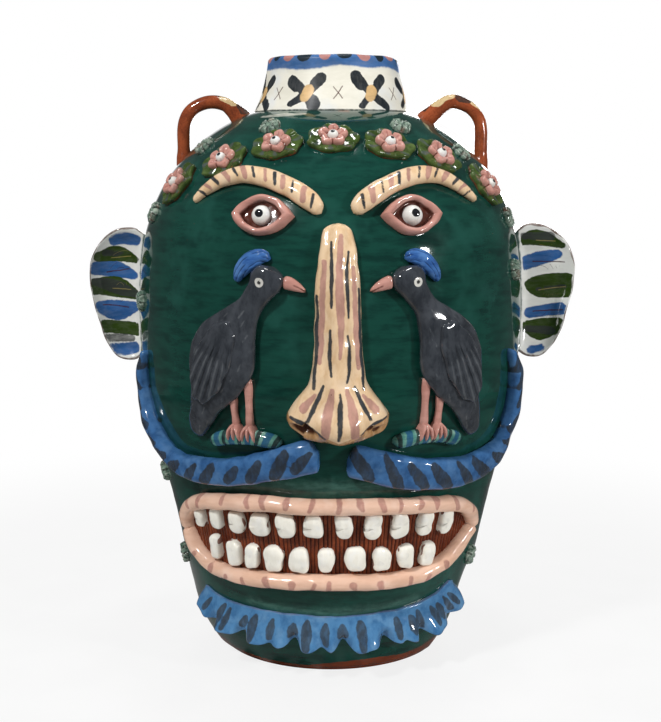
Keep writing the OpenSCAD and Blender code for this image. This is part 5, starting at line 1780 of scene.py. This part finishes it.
@dataclass
class Garland:
    """Leaf pads round the shoulder, each with a pink blossom and a white centre."""

    leaves: Tuple[Trio, ...] = (
        (-59.5, 0.87, 50), (-40.5, 0.91, 33), (-20.8, 0.936, 14), (1, 0.946, 0), (22.8, 0.936, -14), (42.5, 0.917, -33),
        (61, 0.867, -50))
    leaf_size: Pair = (37.0, 29.0)
    leaf_thick: float = 4.0
    blossom: float = 21.0
    leaf_tiers: Tuple[Pair, ...] = (
        (0.97, -0.1), (1.0, 0.3), (1.01, 0.65), (0.98, 0.92), (0.92, 1.02), (0.8, 0.98), (0.55, 0.94), (0.3, 0.94),
        (0.04, 0.94))
    blossom_tiers: Tuple[Pair, ...] = (
        (0.98, -0.1), (1.02, 0.3), (1.0, 0.7), (0.9, 0.98), (0.74, 1.0), (0.58, 0.8), (0.46, 0.5), (0.36, 0.4),
        (0.2, 0.4), (0.03, 0.4))
    leaf_glaze: Glaze = Glaze(
        "olive_leaf_glaze", colour=(72, 92, 44), deep=(50, 68, 32), pale=(96, 116, 66), brush=6.0,
        stretch=(1, 1, 1), cloud=9.0, breaks=(132, 70, 44), break_from=0.555, break_cover=0.7, pits=0.06, rough=0.1,
        coat=0.75,
        marks=(
            BrushMark("vein", (86, 94, 98), ragged=1.0, soft=0.5, worn=0.45, cover=0.75),
            BrushMark("edge", (122, 58, 38), ragged=1.3, soft=0.5, worn=0.3, cover=0.85)))
    blossom_glaze: Glaze = Glaze(
        "pink_blossom_glaze", colour=(200, 148, 136), deep=(184, 130, 118), pale=(212, 164, 152), brush=6.0, cloud=9.0,
        breaks=(150, 84, 62), break_cover=0.3, pits=0.05, rough=0.1, coat=0.7,
        marks=(
            BrushMark("hollow", (92, 42, 28), ragged=0.6, soft=0.5, worn=0.15, cover=0.92),
            BrushMark("ray", (170, 98, 92), ragged=0.5, soft=0.5, worn=0.3, cover=0.6)))

    def build(self) -> None:
        """Builds the leaves, blossoms and centres."""
        for node, add, glaze, slot in (("leaves", self.leaf, self.leaf_glaze, "leaf_glaze"),
                                       ("blossoms", self.flower, self.blossom_glaze, "pink_glaze"),
                                       ("blossom_centres", self.centre, WHITE_GLAZE, "eyeball_glaze")):
            clay = Clay()
            for k in range(len(self.leaves)):
                add(clay, k)
            clay.fire(node, glaze, slot)

    def pad(self, k: int, line: Array, tiers: Sequence[Pair], out: float, **more: float) -> Pad:
        """A pad of clay at the place of leaf k."""
        az, share, _ = self.leaves[k]
        return Pad(az, share * WALL.height, line, tiers, out, **more)

    def leaf(self, clay: Clay, k: int) -> None:
        """Adds a leaf.

        Args:
            clay: the leaves so far.
            k: its number.
        """
        pad = self.pad(k, oval(*self.leaf_size, 140, 0.05, 7), self.leaf_tiers, self.leaf_thick, steps=5, uneven=0.8,
                       seed=81 + k * 3.1, turn=self.leaves[k][2])
        size, a, b, relief = pad.places()
        angle = np.arctan2(b, a)
        ray = np.cos(angle * 7 + 3.14159)
        veins = smooth(0.8, 1.0, ray) * smooth(0.35, 0.6, size) * smooth(0.99, 0.9, size)
        lift = np.cos(angle * 7) * 0.55 * smooth(0.7, 1.0, size)
        relief = relief + (lift - 0.7 * veins) * smooth(0.3, 0.9, relief / self.leaf_thick)
        dabs = []
        for j in range(7):
            at = (-2.6 + 0.9 * j) * 12 + 1.5 * math.sin(k + j)
            dabs.append((at, 9.2 + math.sin(j * 2.0 + k), 0.9, at + 1.2, 13.4, 1.3))
        edge = np.where(size > 0.95, 1.1 - relief + 0.4 * ripple(points_at(a, b, 0), 8.0, k), FAR)
        pad.press(clay, relief, {"edge": 2.0}, vein=daub(angle * 12, size * 15, dabs), edge=edge)

    def flower(self, clay: Clay, k: int) -> None:
        """Adds a blossom of five petals.

        Args:
            clay: the blossoms so far.
            k: its number.
        """
        turn = 90 + 8 * math.sin(k * 2.0)
        pad = self.pad(k, oval(self.blossom, self.blossom, 110, 0.12, 5, turn), self.blossom_tiers, 4.2,
                       base=self.leaf_thick - 0.6, sink=0.8, steps=5, uneven=0.55, seed=91 + k * 2.3)
        size, side, up, relief = pad.places()
        petal = np.cos((np.arctan2(up, side) - math.radians(turn)) * 5)
        split = smooth(0.75, 1.0, -petal) * smooth(0.4, 0.8, size)
        relief = relief - 1.6 * split * smooth(0.2, 0.8, relief / 4.2)
        ray = smooth(0.7, 1.0, petal) * smooth(0.9, 0.6, size) * 2 - 1.2
        pad.press(clay, relief, hollow=np.maximum((0.44 - size) * 11, split * 2 - 1.5), ray=ray)

    def centre(self, clay: Clay, k: int) -> None:
        """Adds a blossom's white centre with a dark dot.

        Args:
            clay: the centres so far.
            k: its number.
        """
        tiers = [(math.cos(t) ** 0.8, math.sin(t)) for t in np.linspace(0.02, 1.52, 10)]
        pad = self.pad(k, oval(7.4, 7.0, 40), tiers, 4.2, base=self.leaf_thick + 0.6, sink=0.5, steps=2, uneven=0.15,
                       seed=99.0 + k)
        _, side, up, relief = pad.places()
        dot = 1.3 - np.hypot(side - 0.4 * math.sin(k * 1.9), up - 0.3 * math.cos(k * 1.3))
        pad.press(clay, relief, pupil=dot)


@dataclass
class Studs:
    """Small textured studs of glassy pale green, scattered over the wall."""

    places: Tuple[Pair, ...] = (
        (-30, 0.969), (35.5, 0.969), (-62, 0.936), (61, 0.926), (70.5, 0.812), (-71.6, 0.82), (68, 0.72),
        (-79.3, 0.336), (-78.5, 0.177), (66, 0.19), (-74, 0.66))
    width: float = 16.0
    out: float = 4.0
    tiers: Tuple[Pair, ...] = (
        (1.0, -0.2), (1.03, 0.3), (0.95, 0.75), (0.8, 0.95), (0.6, 1.0), (0.4, 0.95), (0.2, 1.0), (0.03, 1.05))
    glaze: Glaze = Glaze(
        "pale_stud_glaze", colour=(128, 150, 134), deep=(56, 82, 70), pale=(186, 198, 182), brush=3.0,
        stretch=(1, 1, 1), cloud=4.0, breaks=(210, 214, 204), break_from=0.53, break_cover=0.7, pits=0.1,
        pit_colour=(44, 34, 30), rough=0.08, bump=0.9, coat=0.85,
        marks=(
            BrushMark("crevice", (46, 52, 44), ragged=0.4, soft=0.5, worn=0.2, cover=0.9),
            BrushMark("rust", (122, 66, 48), ragged=1.2, soft=0.8, worn=0.5, cover=0.6)))

    def build(self) -> None:
        """Builds the studs."""
        clay = Clay()
        for k, (az, share) in enumerate(self.places):
            pad = Pad(az, share * WALL.height, oval(self.width, self.width, 90, 0.07, 8, k * 17), self.tiers, self.out,
                      steps=5, uneven=0.6, seed=111 + k * 1.9)
            size, side, up, relief = pad.places()
            angle = np.arctan2(up, side)
            petal = smooth(0.3, 1.0, -np.cos(angle * (7 + k % 3) + k)) * smooth(0.15, 0.5, size)
            ring = smooth(0.4, 1.0, np.cos(size * 17 + k))
            flat = points_at(side, up, 0)
            rough = ripple(flat, 2.4, k * 1.3)
            cut = np.clip(0.8 * petal + 0.45 * ring, 0, 1)
            relief = relief + (-1.7 * cut + 0.8 * rough) * smooth(0.2, 0.7, relief / self.out)
            pad.press(clay, relief, crevice=cut * 2.4 - 1.3 - rough, rust=ripple(flat, 6.0, k + 0.5) * 4 - 1.4)
        clay.fire("rosettes", self.glaze, "rosette_glaze")


@dataclass(frozen=True)
class StudioFloor(Finish):
    """Plain pale floor that shows white to the camera and keeps the jug's shadow."""

    colour: Colour = (222, 222, 221)
    fleck: Colour = (214, 214, 213)
    dim: Colour = (40, 40, 40)
    near: float = 0.82
    fade: Pair = (0.16, 0.76)
    gloss_fade: Pair = (0.13, 0.36)
    gloss_share: Pair = (0.62, 0.93)
    behind: Pair = (0.45, 0.8)

    def mixed(self) -> bpy.types.Material:
        """Makes the floor's material.

        Returns:
            The material.
        """
        bench = Bench(self.name)
        far = bench.add("ShaderNodeVectorMath", {0: bench.place}, operation="LENGTH").outputs["Value"]
        path = bench.add("ShaderNodeLightPath").outputs
        shy = bench.sum("MULTIPLY", path["Is Glossy Ray"], bench.step(far, *self.gloss_fade, self.gloss_share))
        shy = bench.sum("MAXIMUM", bench.step(far, *self.fade), shy)
        fleck = bench.step(bench.grain(60.0, 2), 0.3, 0.7)
        pale = bench.mix(fleck, linear(self.fleck), linear(self.colour))
        colour = bench.mix(shy, pale, linear(self.dim))
        inputs = {"Base Color": colour, "Roughness": 0.7, "Specular IOR Level": 0.1}
        body = bench.add("ShaderNodeBsdfPrincipled", inputs)
        gloss = bench.sum("MULTIPLY", path["Is Glossy Ray"], bench.step(bench.apart(bench.place), *self.behind))
        share = bench.sum("MULTIPLY", bench.seen(path, gloss), bench.step(far, *self.fade, (self.near, 1.0)))
        white = bench.add("ShaderNodeEmission")
        blend = bench.add("ShaderNodeMixShader", {0: share, 1: body.outputs[0], 2: white.outputs[0]})
        bench.add("ShaderNodeOutputMaterial", {"Surface": blend.outputs[0]})
        return bench.made


def put(name: str, data: bpy.types.ID, place: Trio = (0.0, 0.0, 0.0)) -> bpy.types.Object:
    """Puts an object in the scene.

    Args:
        name: its name.
        data: its mesh, lamp or camera.
        place: where it stands, in metres.
    Returns:
        The object.
    """
    thing = bpy.data.objects.new(name, data)
    thing.location = place
    bpy.context.scene.collection.objects.link(thing)
    return thing


@dataclass
class Studio:
    """Floor, lamps, world and camera."""

    eye: Trio = (0.0, -1.037, 0.377)
    pitch: float = 8.65
    focal_px: float = 1343.0
    ambient: float = 0.34
    gloss: float = 0.07
    backdrop: Pair = (0.93, 0.985)
    lamps: Tuple[Tuple[str, Trio, float, float], ...] = (
        ("key_softbox", (-0.85, -1.2, 1.5), 0.22, 21.5),
        ("fill_softbox", (1.42, -0.95, 0.66), 0.2, 13.2),
        ("top_softbox", (0.1, 0.1, 1.9), 0.3, 5.5),
        ("back_softbox", (0.25, 2.0, 0.55), 0.9, 17.0))

    def build(self) -> None:
        """Sets up the studio."""
        self.camera()
        self.floor()
        for name, place, size, power in self.lamps:
            self.lamp(name, place, size, power)
        self.world()
        bpy.context.scene.view_settings.view_transform = "Standard"

    def camera(self) -> None:
        """Places the camera where the photograph was taken from."""
        data = bpy.data.cameras.new("photo_camera")
        data.sensor_fit = "VERTICAL"
        data.sensor_height = 36.0
        data.lens = self.focal_px * data.sensor_height / PHOTO_SIZE[1]
        camera = put("photo_camera", data, self.eye)
        camera.rotation_euler = Euler((math.radians(90 - self.pitch), 0, 0))
        bpy.context.scene.camera = camera

    def floor(self) -> None:
        """Lays the floor."""
        turn = np.linspace(0, 2 * np.pi, 96, endpoint=False)
        points = [(0.0, 0.0, 0.0)] + [(r * math.cos(a), r * math.sin(a), 0.0) for r in (0.2, 0.5, 0.8) for a in turn]
        ring = [(i, (i + 1) % 96) for i in range(96)]
        faces = [(0, 1 + i, 1 + j) for i, j in ring]
        faces += [(1 + k + i, 97 + k + i, 97 + k + j, 1 + k + j) for k in (0, 96) for i, j in ring]
        mesh = bpy.data.meshes.new("studio_floor")
        mesh.from_pydata(points, [], faces)
        mesh.materials.append(StudioFloor("pale_studio_floor").material())
        put("studio_floor", mesh)

    @staticmethod
    def lamp(name: str, place: Trio, size: float, power: float) -> None:
        """Adds a soft lamp that looks at the jug.

        Args:
            name: its name.
            place: where it stands, in metres.
            size: its width in metres.
            power: its power in watts.
        """
        data = bpy.data.lights.new(name, "AREA")
        data.shape, data.size, data.energy = "DISK", size, power
        way = Vector((0, 0, 0.24)) - Vector(place)
        put(name, data, place).rotation_euler = way.to_track_quat("-Z", "Y").to_euler()

    def world(self) -> None:
        """Gives the world a soft even light, and white behind the jug."""
        bench = Bench("studio_world", bpy.data.worlds)
        bpy.context.scene.world = bench.made
        path = bench.add("ShaderNodeLightPath").outputs
        behind = bench.step(bench.apart(bench.coords["Generated"]), *self.backdrop)
        seen = bench.seen(path, bench.sum("MULTIPLY", path["Is Glossy Ray"], behind))
        room = bench.sum("MULTIPLY_ADD", path["Is Glossy Ray"], self.gloss - self.ambient, self.ambient)
        back = bench.add("ShaderNodeBackground", {"Color": (1, 1, 1, 1), "Strength": bench.sum("MAXIMUM", seen, room)})
        bench.add("ShaderNodeOutputWorld", {"Surface": back.outputs[0]})


def main() -> None:
    """Builds the studio and the jug, piece by piece."""
    logging.basicConfig(level=logging.INFO, format="%(name)s: %(message)s")
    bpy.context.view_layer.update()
    noise.seed_set(NOISE_SEED)
    Studio().build()
    Pot().build()
    Collar().build()
    for pair in (Handle, Ear, Moustache):
        for side in Side:
            pair(side).build()
    Mouth().build()
    Beard().build()
    Nose().build()
    for pair in (Eye, Bird):
        for side in Side:
            pair(side).build()
    Garland().build()
    Studs().build()


if __name__ == "__main__":
    main()
